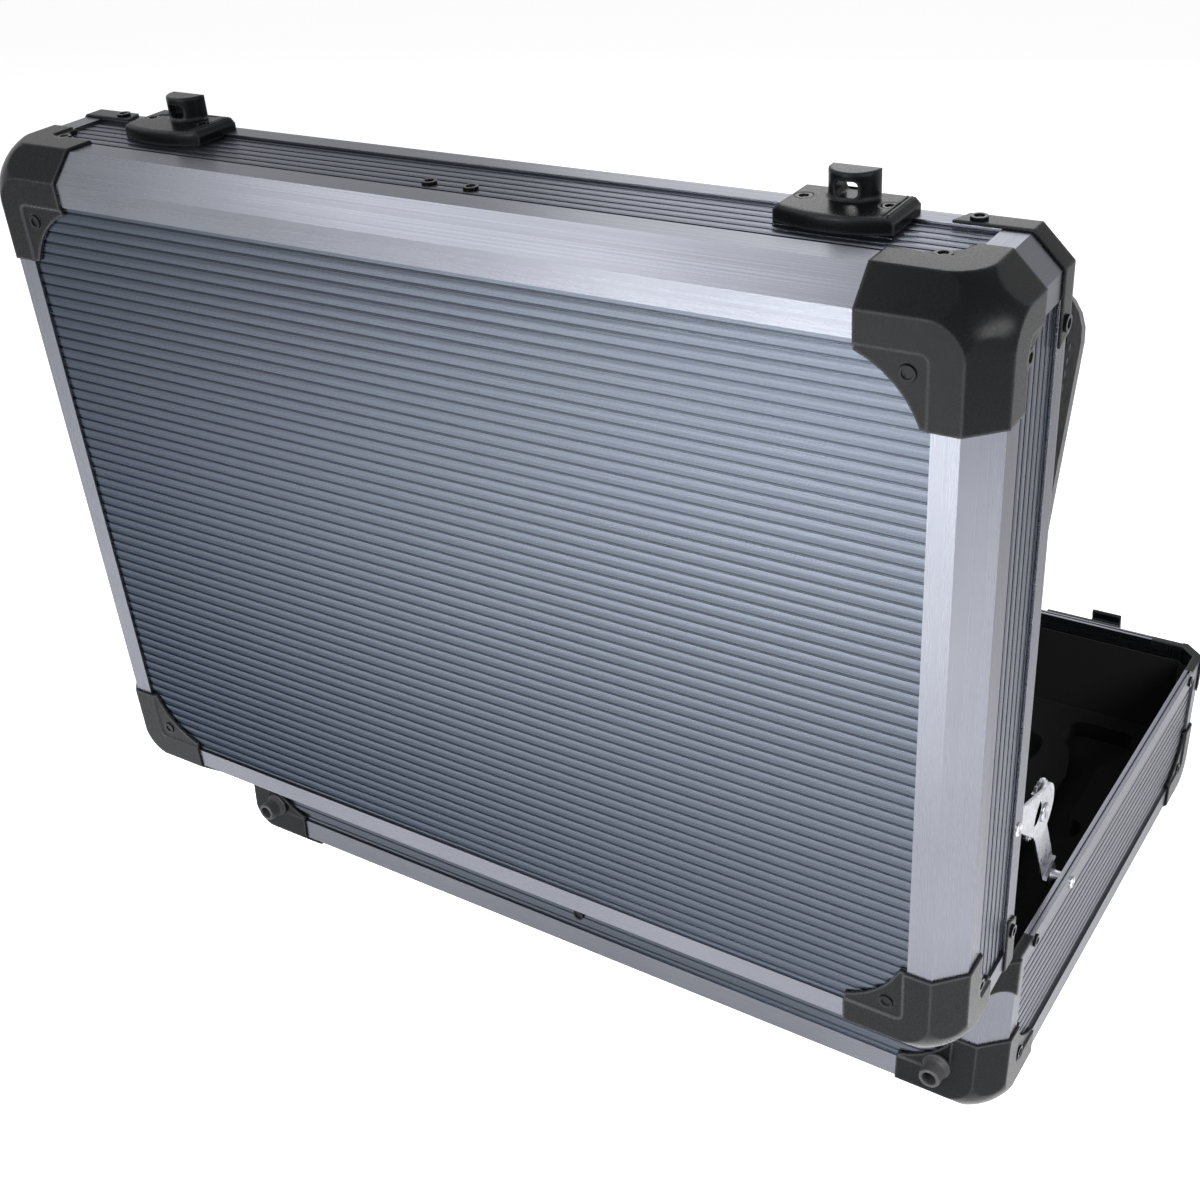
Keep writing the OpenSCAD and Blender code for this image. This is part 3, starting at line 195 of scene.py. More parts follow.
class Finish:
    """A node-based material with a few helpers to draw its surface."""

    def __init__(self, name, colour, roughness, metallic=0.0, specular=0.5, lean=0.0):
        self.lean = lean
        self.material = bpy.data.materials.new(name)
        self.material.use_nodes = True
        self.tree = self.material.node_tree
        self.shader = self.tree.nodes["Principled BSDF"]
        self.shader.inputs["Base Color"].default_value = (*colour, 1)
        self.shader.inputs["Roughness"].default_value = roughness
        self.shader.inputs["Metallic"].default_value = metallic
        self.shader.inputs["Specular IOR Level"].default_value = specular
        self.height = None

    def upright(self):
        """The surface's coordinates, leaned back by the angle that its half of the case stands at."""
        coordinates = self.tree.nodes.new("ShaderNodeTexCoord")
        mapping = self.tree.nodes.new("ShaderNodeMapping")
        mapping.inputs["Location"].default_value = LID_HINGE - Matrix.Rotation(self.lean, 3, "X") @ LID_HINGE
        mapping.inputs["Rotation"].default_value = (self.lean, 0, 0)
        self.tree.links.new(coordinates.outputs["Object"], mapping.inputs["Vector"])
        return mapping.outputs["Vector"]

    def place(self, scale):
        """The same coordinates, scaled by one number or by three."""
        mapping = self.tree.nodes.new("ShaderNodeMapping")
        mapping.inputs["Scale"].default_value = scale if isinstance(scale, tuple) else (scale, scale, scale)
        self.tree.links.new(self.upright(), mapping.inputs["Vector"])
        return mapping.outputs["Vector"]

    def waves(self, axis, pitch, low):
        """A height from 0 to 1 that is lowest at one place along an axis, and again each pitch from it."""
        parts = self.tree.nodes.new("ShaderNodeSeparateXYZ")
        phase = self.tree.nodes.new("ShaderNodeMath")
        wave = self.tree.nodes.new("ShaderNodeMath")
        height = self.tree.nodes.new("ShaderNodeMath")
        phase.operation = height.operation = "MULTIPLY_ADD"
        wave.operation = "COSINE"
        phase.inputs[1].default_value = math.tau / pitch
        phase.inputs[2].default_value = -math.tau * low / pitch
        height.inputs[1].default_value = -1 / 2
        height.inputs[2].default_value = 1 / 2
        self.tree.links.new(self.upright(), parts.inputs["Vector"])
        self.tree.links.new(parts.outputs[axis], phase.inputs[0])
        self.tree.links.new(phase.outputs[0], wave.inputs[0])
        self.tree.links.new(wave.outputs[0], height.inputs[0])
        return height.outputs[0]

    def noise(self, scale, detail=3.0, roughness=0.5):
        """Cloudy noise from 0 to 1, with its scale in cells to the metre."""
        texture = self.tree.nodes.new("ShaderNodeTexNoise")
        texture.inputs["Scale"].default_value = 1.0
        texture.inputs["Detail"].default_value = detail
        texture.inputs["Roughness"].default_value = roughness
        self.tree.links.new(self.place(scale), texture.inputs["Vector"])
        return texture.outputs["Fac"]

    def cells(self, scale):
        """Small round cells, as pores or threads, with their scale in cells to the metre."""
        texture = self.tree.nodes.new("ShaderNodeTexVoronoi")
        texture.inputs["Scale"].default_value = 1.0
        self.tree.links.new(self.place(scale), texture.inputs["Vector"])
        return texture.outputs["Distance"]

    def edges(self, radius):
        """Shades edges as if they were rounded, and gives 0 on flat places and more near an edge."""
        rounded = self.tree.nodes.new("ShaderNodeBevel")
        rounded.samples = EDGE_SAMPLES
        rounded.inputs["Radius"].default_value = radius
        flat = self.tree.nodes.new("ShaderNodeNewGeometry")
        turn = self.tree.nodes.new("ShaderNodeVectorMath")
        turn.operation = "DISTANCE"
        self.height = rounded.outputs["Normal"]
        self.tree.links.new(rounded.outputs["Normal"], turn.inputs[0])
        self.tree.links.new(flat.outputs["Normal"], turn.inputs[1])
        return turn.outputs["Value"]

    def tint(self, value, dark, light, start=MIDDLE_OF_NOISE[0], end=MIDDLE_OF_NOISE[1]):
        """Colours the surface from dark to light as a value goes from its start to its end."""
        ramp = self.tree.nodes.new("ShaderNodeValToRGB")
        ramp.color_ramp.elements[0].position = start
        ramp.color_ramp.elements[0].color = (*dark, 1)
        ramp.color_ramp.elements[1].position = end
        ramp.color_ramp.elements[1].color = (*light, 1)
        self.tree.links.new(value, ramp.inputs["Fac"])
        self.tree.links.new(ramp.outputs["Color"], self.shader.inputs["Base Color"])

    def rough(self, value, low, high):
        """Spreads the roughness between two values, as a noise goes through its middle."""
        between = self.tree.nodes.new("ShaderNodeMapRange")
        between.inputs["From Min"].default_value = MIDDLE_OF_NOISE[0]
        between.inputs["From Max"].default_value = MIDDLE_OF_NOISE[1]
        between.inputs["To Min"].default_value = low
        between.inputs["To Max"].default_value = high
        self.tree.links.new(value, between.inputs["Value"])
        self.tree.links.new(between.outputs["Result"], self.shader.inputs["Roughness"])

    def bump(self, value, distance, strength=1.0):
        """Raises the shading by a value, on top of what was raised before."""
        bump = self.tree.nodes.new("ShaderNodeBump")
        bump.inputs["Distance"].default_value = distance
        bump.inputs["Strength"].default_value = strength
        self.tree.links.new(value, bump.inputs["Height"])
        if self.height is not None:
            self.tree.links.new(self.height, bump.inputs["Normal"])
        self.height = bump.outputs["Normal"]
        self.tree.links.new(self.height, self.shader.inputs["Normal"])

    def sheen(self, weight, roughness=0.5):
        """The pale bloom of cloth seen at a slant."""
        self.shader.inputs["Sheen Weight"].default_value = weight
        self.shader.inputs["Sheen Roughness"].default_value = roughness


def streaks(axis, along=8, across=2600):
    """Texture scale of draw marks that run along one axis."""
    return tuple(along if i == axis else across for i in (X, Y, Z))


def ribbed_sheet(name, lean, along, across, groove):
    """Slate-grey anodised sheet with softly rounded ribs, its fine draw marks along them, and painted shade
    darkening its grooves.
    """
    slate = (0.058, 0.066, 0.081)
    finish = Finish(name, slate, roughness=0.28, metallic=1.0, lean=lean)
    graze = GRAZING_SHINE[across]
    finish.shader.inputs["Specular Tint"].default_value = (graze, graze, GRAZING_BLUE * graze, 1)
    rib = finish.waves(across, RIB_PITCH, groove)
    # Painted shade: the colour darkens to near black in a narrow band along each groove
    finish.tint(rib, dark=(0.016, 0.019, 0.024), light=slate, start=0.0, end=GROOVE_SHADE_END)
    finish.bump(rib, RIB_RISE)
    marks = finish.noise(streaks(along), detail=2)
    finish.rough(marks, low=0.23, high=0.31)
    finish.bump(marks, MARK_DEPTH, strength=0.25)
    return finish.material


def drawn_profile(name, lean, along):
    """Silver anodised extrusion with draw marks along its length."""
    finish = Finish(name, (0.12, 0.125, 0.143), roughness=0.28, metallic=1.0, lean=lean)
    finish.shader.inputs["Specular Tint"].default_value = (0.78, 0.78, 0.8, 1)
    finish.tint(finish.noise(14), dark=(0.112, 0.117, 0.135), light=(0.128, 0.133, 0.151))
    marks = finish.noise(streaks(along, along=5, across=1800), detail=2)
    finish.rough(marks, low=0.25, high=0.33)
    finish.bump(marks, MARK_DEPTH, strength=0.18)
    return finish.material


def black_enamel():
    """Semi-gloss black paint on pressed steel, slightly pebbled, with a painted highlight along its edges and
    creases.
    """
    finish = Finish("black_enamel", (0.005, 0.0053, 0.006), roughness=0.28, specular=0.07)
    edge_highlight = finish.edges(1.6 * MM)
    # Painted highlight: the colour is paler along edges and creases, where the rounded shading turns
    finish.tint(edge_highlight, dark=(0.004, 0.0043, 0.005), light=(0.034, 0.036, 0.04), start=0.04, end=0.5)
    grain = finish.noise(1400, detail=2)
    finish.rough(grain, low=0.22, high=0.34)
    finish.bump(grain, 0.03 * MM, strength=0.4)
    return finish.material


def bright_zinc():
    """Zinc-plated steel, a little cloudy."""
    finish = Finish("bright_zinc", (0.3, 0.31, 0.34), roughness=0.3, metallic=1.0)
    finish.tint(finish.noise(120, detail=4), dark=(0.24, 0.25, 0.28), light=(0.36, 0.37, 0.4))
    finish.rough(finish.noise(400), low=0.24, high=0.4)
    return finish.material


def rivet_head(name, colour, roughness, metallic, specular):
    """A rivet's head, its tone a fifth darker here and a fifth lighter there."""
    finish = Finish(name, colour, roughness, metallic, specular)
    tone = finish.noise(300, detail=2)
    finish.tint(tone, dark=[0.8 * c for c in colour], light=[1.2 * c for c in colour])
    finish.bump(finish.noise(900, detail=2), 0.03 * MM, strength=0.5)
    return finish.material


def liner_felt():
    """Flat black fibre lining."""
    finish = Finish("liner_felt", (0.005, 0.005, 0.0055), roughness=0.95, specular=0.08)
    fibres = finish.noise(2400, detail=5, roughness=0.7)
    finish.tint(fibres, dark=(0.0015, 0.0015, 0.002), light=(0.006, 0.006, 0.0065))
    finish.bump(fibres, 0.25 * MM, strength=0.8)
    finish.sheen(0.06, roughness=0.6)
    return finish.material


def black_foam():
    """Open-celled foam with fine dark pores."""
    cut_face = (0.005, 0.005, 0.0055)
    finish = Finish("black_foam", cut_face, roughness=1.0, specular=0.05)
    pores = finish.cells(1500)
    finish.tint(pores, dark=(0.001, 0.001, 0.0012), light=cut_face, start=0.05, end=0.6)
    finish.bump(pores, 0.3 * MM, strength=0.7)
    finish.sheen(0.04)
    return finish.material


def moulded_black(name, roughness):
    """Black moulded plastic or rubber with a fine grain."""
    finish = Finish(name, (0.018, 0.018, 0.02), roughness, specular=0.45)
    grain = finish.noise(1800)
    finish.tint(grain, dark=(0.014, 0.014, 0.016), light=(0.023, 0.023, 0.025))
    finish.bump(grain, 0.06 * MM, strength=0.7)
    return finish.material


def woven_black():
    """Plain black weave over the organizer board."""
    finish = Finish("woven_black", (0.01, 0.01, 0.011), roughness=0.8, specular=0.2)
    threads = finish.cells(1300)
    finish.tint(threads, dark=(0.005, 0.005, 0.006), light=(0.018, 0.018, 0.02), start=0.1, end=0.7)
    finish.bump(threads, 0.18 * MM, strength=0.7)
    finish.sheen(0.12)
    return finish.material


def binding_tape():
    """Black ribbed tape sewn over the board's edge."""
    finish = Finish("binding_tape", (0.02, 0.02, 0.022), roughness=0.7, specular=0.35)
    ribs = finish.noise((900, 900, 200), detail=2)
    finish.tint(ribs, dark=(0.012, 0.012, 0.013), light=(0.03, 0.03, 0.033))
    finish.bump(ribs, 0.2 * MM, strength=0.6)
    finish.sheen(0.3)
    return finish.material


def elastic_band():
    """Black elastic: ribs across it and a dull sheen."""
    finish = Finish("elastic_band", (0.03, 0.03, 0.033), roughness=0.7, specular=0.3)
    ribs = finish.noise((1500, 250, 250), detail=2)
    finish.tint(ribs, dark=(0.018, 0.018, 0.02), light=(0.045, 0.045, 0.05))
    finish.bump(ribs, 0.2 * MM, strength=0.7)
    finish.sheen(0.3)
    return finish.material


def sewing_thread():
    """Grey-black thread with a fine twist."""
    finish = Finish("sewing_thread", (0.06, 0.06, 0.065), roughness=0.6, specular=0.4)
    twist = finish.noise(2500, detail=2)
    finish.tint(twist, dark=(0.04, 0.04, 0.044), light=(0.085, 0.085, 0.09))
    finish.bump(twist, 0.1 * MM, strength=0.6)
    return finish.material


RIBS = {}
PROFILES = {}
for half, lean in (("base", 0.0), ("lid", math.radians(OPEN_ANGLE))):
    groove = GROOVE_Z[half]
    RIBS[half] = {
        "face": ribbed_sheet(half + "_face_ribs", lean, along=X, across=Y, groove=0.0),
        "end": ribbed_sheet(half + "_end_ribs", lean, along=X, across=Z, groove=groove),
        "side": ribbed_sheet(half + "_side_ribs", lean, along=Y, across=Z, groove=groove)
    }
    PROFILES[half] = [drawn_profile(half + "_profile_" + axis, lean, i) for i, axis in enumerate("xyz")]
ENAMEL = black_enamel()
ZINC = bright_zinc()
SILVER_RIVET = rivet_head("silver_rivet", (0.4, 0.4, 0.42), roughness=0.3, metallic=1.0, specular=0.5)
DARK_RIVET = rivet_head("dark_rivet", (0.004, 0.0043, 0.005), roughness=0.2, metallic=0.0, specular=0.08)
FELT = liner_felt()
FOAM = black_foam()
RUBBER = moulded_black("foot_rubber", roughness=0.6)
HANDLE_PLASTIC = moulded_black("handle_plastic", roughness=0.42)
WEAVE = woven_black()
TAPE = binding_tape()
ELASTIC = elastic_band()
THREAD = sewing_thread()


def finish_of(name):
    """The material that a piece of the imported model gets."""
    half = name.split("_")[0]
    along = Y if "left" in name or "right" in name else X
    if name in ("base_bottom_panel", "lid_face_panel"):
        return RIBS[half]["face"]
    if name.endswith("_panel"):
        return RIBS[half]["side" if along == Y else "end"]
    if name.endswith("_trim"):
        return PROFILES[half][along]
    if name.endswith("_posts"):
        return PROFILES[half][Z]
    if name.endswith("_rim_frame"):
        return PROFILES[half][X]
    if name.endswith("_rivets"):
        return DARK_RIVET
    if name.endswith("_lining"):
        return FELT
    if name.endswith("_feet"):
        return RUBBER
    if name == "foam_insert":
        return FOAM
    if name == "lid_organizer":
        return WEAVE
    if name == "carry_handle":
        return HANDLE_PLASTIC
    if "stay" in name or "hinge" in name or name == "organizer_rod":
        return ZINC
    return ENAMEL


# Edges and shading

SMOOTH_BELOW = math.radians(35)
ROUNDED_ABOVE = math.radians(25)
EDGE_SEGMENTS = 2
PLAIN_EDGE = 0.5
# Radii in millimetres, by a part of the piece's name
EDGE_RADIUS = {
    "_cap_": 0.6, "panel": 0.1, "trim": 0.3, "posts": 0.3, "rim_frame": 0.2, "rim_plates": 0.25, "rivets": 0.2
}


def smooth_group():
    """Geometry nodes that drop a piece's stored normals and shade it smooth, but for its sharp edges."""
    group = bpy.data.node_groups.new("smooth_faces", "GeometryNodeTree")
    group.interface.new_socket("Geometry", in_out="INPUT", socket_type="NodeSocketGeometry")
    group.interface.new_socket("Geometry", in_out="OUTPUT", socket_type="NodeSocketGeometry")
    start = group.nodes.new("NodeGroupInput")
    plain = group.nodes.new("GeometryNodeRemoveAttribute")
    faces = group.nodes.new("GeometryNodeSetShadeSmooth")
    edges = group.nodes.new("GeometryNodeSetShadeSmooth")
    angle = group.nodes.new("GeometryNodeInputMeshEdgeAngle")
    gentle = group.nodes.new("ShaderNodeMath")
    end = group.nodes.new("NodeGroupOutput")
    plain.inputs["Name"].default_value = "custom_normal"
    faces.domain = "FACE"
    faces.inputs["Shade Smooth"].default_value = True
    edges.domain = "EDGE"
    gentle.operation = "LESS_THAN"
    gentle.inputs[1].default_value = SMOOTH_BELOW
    group.links.new(start.outputs[0], plain.inputs["Geometry"])
    group.links.new(plain.outputs["Geometry"], faces.inputs["Geometry"])
    group.links.new(faces.outputs["Geometry"], edges.inputs["Geometry"])
    group.links.new(angle.outputs["Unsigned Angle"], gentle.inputs[0])
    group.links.new(gentle.outputs[0], edges.inputs["Shade Smooth"])
    group.links.new(edges.outputs["Geometry"], end.inputs[0])
    return group


SMOOTH_FACES = smooth_group()


def soften(piece, radius):
    """Rounds the sharp edges of a piece: its loose triangles are joined first."""
    weld = piece.modifiers.new("weld", "WELD")
    weld.merge_threshold = WELD
    bevel = piece.modifiers.new("bevel", "BEVEL")
    bevel.width = radius * MM
    bevel.segments = EDGE_SEGMENTS
    bevel.limit_method = "ANGLE"
    bevel.angle_limit = ROUNDED_ABOVE
    smooth = piece.modifiers.new("smooth", "NODES")
    smooth.node_group = SMOOTH_FACES
    weighted = piece.modifiers.new("weighted", "WEIGHTED_NORMAL")
    weighted.keep_sharp = True


def edge_radius(name):
    """The radius, in millimetres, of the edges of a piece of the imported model."""
    for part, radius in EDGE_RADIUS.items():
        if part in name:
            return radius
    return PLAIN_EDGE


def dress_frame():
    """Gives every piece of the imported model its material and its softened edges."""
    for name, piece in NODES.items():
        piece.data.materials.clear()
        piece.data.materials.append(finish_of(name))
        soften(piece, edge_radius(name))


# Making pieces: shapes are drawn in millimetres

FLAT_WITHIN = math.radians(0.5)
SHARP_ANGLE = 0.8
SUNK = 0.05


def at(x, y, z):
    """A shift in millimetres."""
    return Matrix.Translation(Vector((x, y, z)) * MM)


def turned(degrees, axis):
    """A turn round an axis through the origin."""
    return Matrix.Rotation(math.radians(degrees), 4, axis)


def pivot(joint):
    """A joint's place at rest, in millimetres."""
    return [c / MM for c in JOINTS[joint]["pos_m"]]


def piece(name, shape, body, material, *nodes, radius=0.3):
    """Makes a shape an object that rides on a body, with softened edges, in place of the nodes named."""
    mesh = bpy.data.meshes.new(name)
    shape.to_mesh(mesh)
    shape.free()
    made = bpy.data.objects.new(name, mesh)
    bpy.context.scene.collection.objects.link(made)
    mesh.materials.append(material)
    soften(made, radius)
    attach(made, body)
    if nodes:
        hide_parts(*nodes)
    return made


def add(shape, other, place=None):
    """Puts another shape in a shape, placed by a matrix, and frees it."""
    if place is not None:
        other.transform(place)
        if place.determinant() < 0:
            bmesh.ops.reverse_faces(other, faces=other.faces)
    mesh = bpy.data.meshes.new("part")
    other.to_mesh(mesh)
    other.free()
    shape.from_mesh(mesh)
    bpy.data.meshes.remove(mesh)


def placed(shape, place):
    """The shape moved by a matrix, with its faces pointing outwards."""
    whole = bmesh.new()
    add(whole, shape, place)
    return whole


def merged(node):
    """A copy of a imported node's shape, its loose triangles joined to whole faces."""
    shape = bmesh.new()
    shape.from_mesh(NODES[node].data)
    bmesh.ops.remove_doubles(shape, verts=shape.verts, dist=WELD)
    bmesh.ops.dissolve_limit(shape, angle_limit=FLAT_WITHIN, verts=shape.verts, edges=shape.edges)
    return shape


def raise_flat(shape, thickness):
    """Gives a flat shape a thickness, from z = 0 up."""
    lifted = bmesh.ops.extrude_face_region(shape, geom=shape.faces)["geom"]
    points = [part for part in lifted if isinstance(part, bmesh.types.BMVert)]
    bmesh.ops.translate(shape, verts=points, vec=(0, 0, thickness * MM))
    bmesh.ops.recalc_face_normals(shape, faces=shape.faces)
    return shape


def turned_shape(points, steps=40):
    """A closed shape turned round the z axis, from (radius, height) points."""
    shape = bmesh.new()
    corners = [shape.verts.new((r * MM, 0, z * MM)) for r, z in points]
    edges = [shape.edges.new(pair) for pair in zip(corners, corners[1:])]
    bmesh.ops.spin(
        shape, geom=corners + edges, axis=(0, 0, 1), cent=(0, 0, 0), angle=math.tau, steps=steps,
        use_merge=True
    )
    bmesh.ops.remove_doubles(shape, verts=shape.verts, dist=TINY)
    bmesh.ops.recalc_face_normals(shape, faces=shape.faces)
    return shape


def outline(corners, steps=6):
    """A flat face from (x, y, rounding) corners."""
    shape = bmesh.new()
    points = [shape.verts.new((x * MM, y * MM, 0)) for x, y, _ in corners]
    shape.faces.new(points)
    for point, (_, _, rounding) in zip(points, corners):
        if rounding:
            bmesh.ops.bevel(
                shape, geom=[point], offset=rounding * MM, affect="VERTICES", segments=steps, profile=0.5,
                material=-1, clamp_overlap=False
            )
    return shape


def plate(corners, thickness, holes=()):
    """A flat plate from z = 0 up, with its corners rounded and holes of the same kind cut through it."""
    shape = outline(corners)
    if holes:
        for hole in holes:
            add(shape, outline(hole))
        bmesh.ops.delete(shape, geom=shape.faces, context="FACES_ONLY")
        bmesh.ops.triangle_fill(shape, edges=shape.edges, use_beauty=True)
    return raise_flat(shape, thickness)


def rectangle(x, y, width, length, rounding=0.0):
    """Corners of a rectangle round (x, y)."""
    a, b = width / 2, length / 2
    signs = ((-1, -1), (1, -1), (1, 1), (-1, 1))
    return [(x + a * across, y + b * along, rounding) for across, along in signs]


def round_edges(shape, edges, radius, segments=3):
    """Rounds some of a shape's edges, or fills them out where they are hollow."""
    bmesh.ops.bevel(
        shape, geom=edges, offset=radius * MM, affect="EDGES", segments=segments, profile=0.5, material=-1,
        clamp_overlap=True
    )


# Places in the case: the lid's half case is turned over, set on the rim and swung open

HALF_W = 227.5
HALF_D = 163
RIM_Z = pivot("lid_hinge")[Z]
RIM_GAP = 0.3
SWING = Matrix.Translation(LID_HINGE) @ turned(-OPEN_ANGLE, "X") @ Matrix.Translation(-LID_HINGE)
LID = SWING @ at(0, 0, RIM_Z + RIM_GAP) @ Matrix.Scale(-1, 4, (0, 0, 1))
BASE = at(0, 0, RIM_Z)
# Stands a flat shape up: its x runs along the case's depth, its y upwards, its thickness along the width
UPRIGHT = Matrix(((0, 0, 1, 0), (1, 0, 0, 0), (0, 1, 0, 0), (0, 0, 0, 1)))


# Foam and linings: each hole is an outline of (x, y, rounding) corners

FOAM_X, FOAM_Y, FOAM_TOP = (round(c / MM, 3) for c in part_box("foam_insert")[1])
FOAM_CORNER = 7.4
RECESS_FLOOR = 25.0
HAMMER_HOLE = [
    (-202, -142.5, 8), (-164, -143, 8), (-162, -122, 7), (-174.5, -105, 11), (-175.5, 66, 6), (-190.5, 66, 6),
    (-192, -20, 5), (-201, -26, 5), (-203, -40, 6), (-192.5, -43, 5), (-191.5, -106, 11), (-201, -119, 7)
]
SPANNER_X = -137
SPANNER_RING = [(9, 74, 5), (20, 87, 10), (19, 117, 11)]
PLIERS_Y = 70
PLIERS_LEG = [(63, 8, 5), (92, 13, 8), (110, 22, 9), (200, 30, 7), (201, 13, 7), (150, 4, 9)]
BOX_HOLE = {"x": 132, "y": -62, "width": 118, "length": 128, "rounding": 12}
DRIVER_PLACES = (-92, -56, -20, 16)
DRIVER_SIDE = [(12, -8, 7), (5, -16, 4), (5, -121, 3)]
DRIVER_END = (12, 81, 8)


def driver_hole(x):
    """A screwdriver's hole: a round-ended grip and a narrow blade."""
    low = [(x - across, y, rounding) for across, y, rounding in DRIVER_SIDE]
    high = [(x + across, y, rounding) for across, y, rounding in reversed(DRIVER_SIDE)]
    across, y, rounding = DRIVER_END
    return low + high + [(x + across, y, rounding), (x - across, y, rounding)]


def spanner_hole():
    """A ring spanner's hole: two round heads and a straight shank."""
    ends = []
    for s in (1, -1):
        ends += [(SPANNER_X - across * s, y * s, rounding) for across, y, rounding in SPANNER_RING]
        ends += [(SPANNER_X + across * s, y * s, rounding) for across, y, rounding in reversed(SPANNER_RING)]
    return ends


def pliers_hole():
    """A hole for pliers: narrow jaws, a round joint and two spread legs."""
    low = [(x, PLIERS_Y - out, rounding) for x, out, rounding in PLIERS_LEG]
    return low + [(x, PLIERS_Y + out, rounding) for x, out, rounding in reversed(PLIERS_LEG)]


def add_foam():
    """The insert: a solid lower sheet, and an upper one with a hole for each tool."""
    shape = merged("foam_insert")
    everything = list(shape.verts) + list(shape.edges) + list(shape.faces)
    under = RECESS_FLOOR - SUNK
    bmesh.ops.bisect_plane(
        shape, geom=everything, plane_co=(0, 0, under * MM), plane_no=(0, 0, 1), clear_outer=True, dist=TINY
    )
    rim = [edge for edge in shape.edges if edge.is_boundary]
    bmesh.ops.contextual_create(shape, geom=rim)
    x, y, c = FOAM_X, FOAM_Y, FOAM_CORNER
    holes = [HAMMER_HOLE, spanner_hole(), pliers_hole(), rectangle(**BOX_HOLE)]
    holes += [driver_hole(place) for place in DRIVER_PLACES]
    sheet = plate(
        [
            (-x + c, -y, 0), (x - c, -y, 0), (x, -y + c, 0), (x, y - c, 0), (x - c, y, 0), (-x + c, y, 0),
            (-x, y - c, 0), (-x, -y + c, 0)
        ],
        FOAM_TOP - under, holes
    )
    add(shape, sheet, at(0, 0, under))
    foam = piece("foam_with_tool_holes", shape, "base", FOAM, "foam_insert", radius=0.7)


def add_linings():
    """The felt in both halves."""
    for half in ("base", "lid"):
        piece(half + "_felt", merged(half + "_lining"), half, FELT, half + "_lining", radius=0.35)


# Organizer: drawn with its pivot at the origin, its length towards -y and its bands on the +z side

ORGANIZER_PIVOT = (0, 152, -45.5)
ORGANIZER_TILT = JOINTS["organizer_swing"]["range_deg"][1]
ORGANIZER = LID @ at(*ORGANIZER_PIVOT) @ turned(-ORGANIZER_TILT, "X")
BOARD_HALF_W = 220
BOARD_LOW_HALF_W = 199
BOARD_STEP = 182
BOARD_LENGTH = 293
BOARD_ROUNDING = 20
LOW_ROUNDING = 2
STEP_ROUNDING = 4
BOARD_HALF_T = 1.5
BOARD_INSET = 1.0
SLEEVE_PROFILE = [(0, -198.5), (3.4, -198.5), (3.9, -197), (3.9, 197), (3.4, 198.5), (0, 198.5)]
BINDING_T = 1.0
BINDING_W = 5.0
SEAM_INSET = 3.7
SEAM = {"pitch": 5.0, "length": 3.2}
STITCH_R = 0.5
STITCH_W = 0.75
STITCH_H = 0.5
BAND_W = 26
BAND_T = 0.8
BAND_LIFT = 0.15
BAND_SLACK = 1.6
LOOP_STEPS = 8
BANDS = (
    {"y": -52, "reach": 186, "loops": 9},
    {"y": -128, "reach": 186, "loops": 12},
    {"y": -216, "reach": 206, "loops": 7}
)
TACK = {"pitch": 3.4, "length": 2.2}
TACK_REACH = 12
TACK_INSET = 1.5
TACK_RISE = 1.0


def board_outline(inset):
    """The organizer's outline, drawn in by an inset. It is narrower between the stays."""
    wide, narrow = BOARD_HALF_W - inset, BOARD_LOW_HALF_W - inset
    step, top = -BOARD_STEP - inset, inset - BOARD_LENGTH
    half = [(narrow, -inset, LOW_ROUNDING), (narrow, step, LOW_ROUNDING), (wide, step, STEP_ROUNDING)]
    half.append((wide, top, BOARD_ROUNDING - inset))
    return half + [(-x, y, rounding) for x, y, rounding in reversed(half)]


def elastic(y, reach, loops):
    """A flat elastic band sewn down between its loops, each a little slack."""
    shape = bmesh.new()
    bmesh.ops.create_grid(shape, x_segments=loops * LOOP_STEPS, y_segments=3, size=1 / 2)
    bmesh.ops.scale(shape, vec=(2 * reach * MM, BAND_W * MM, 1), verts=shape.verts)
    bmesh.ops.translate(shape, vec=(0, y * MM, 0), verts=shape.verts)
    for point in shape.verts:
        share = (point.co.x / MM + reach) / (2 * reach) * loops
        point.co.z = (BOARD_HALF_T + BAND_LIFT + BAND_SLACK * math.sin(math.pi * share) ** 2) * MM
    bmesh.ops.solidify(shape, geom=shape.faces, thickness=BAND_T * MM)
    bmesh.ops.recalc_face_normals(shape, faces=shape.faces)
    return shape


def stitch_mesh(length):
    """One stitch: a short, slightly flattened bead along x."""
    bead = bmesh.new()
    bmesh.ops.create_uvsphere(bead, u_segments=6, v_segments=4, radius=STITCH_R * MM)
    bmesh.ops.scale(bead, vec=(length, STITCH_W, STITCH_H), verts=bead.verts)
    mesh = bpy.data.meshes.new("stitch")
    bead.to_mesh(mesh)
    bead.free()
    return mesh


def sew(shape, start, end, z, pitch, length):
    """A row of stitches from one point to another, at one height."""
    run = (Vector(end) - Vector(start)).to_3d()
    count = max(1, round(run.length / pitch))
    stitch = stitch_mesh(length)
    stitch.transform(at(*start, z) @ turned(math.degrees(math.atan2(run.y, run.x)), "Z"))
    stitch.transform(Matrix.Translation(run / (2 * count) * MM))
    for _ in range(count):
        shape.from_mesh(stitch)
        stitch.transform(Matrix.Translation(run / count * MM))
    bpy.data.meshes.remove(stitch)


def add_board():
    """The covered board with the sleeve that it turns on, and the tape bound over its edge."""
    board = plate(board_outline(BOARD_INSET), 2 * BOARD_HALF_T)
    board.transform(at(0, 0, -BOARD_HALF_T))
    add(board, turned_shape(SLEEVE_PROFILE, steps=24), turned(90, "Y"))
    piece("organizer_board", placed(board, ORGANIZER), "organizer", WEAVE, "lid_organizer", radius=0.4)
    tape = plate(board_outline(0), 2 * (BOARD_HALF_T + BINDING_T), [board_outline(BINDING_W)])
    tape.transform(at(0, 0, -BOARD_HALF_T - BINDING_T))
    piece("organizer_binding", placed(tape, ORGANIZER), "organizer", TAPE, radius=0.8)


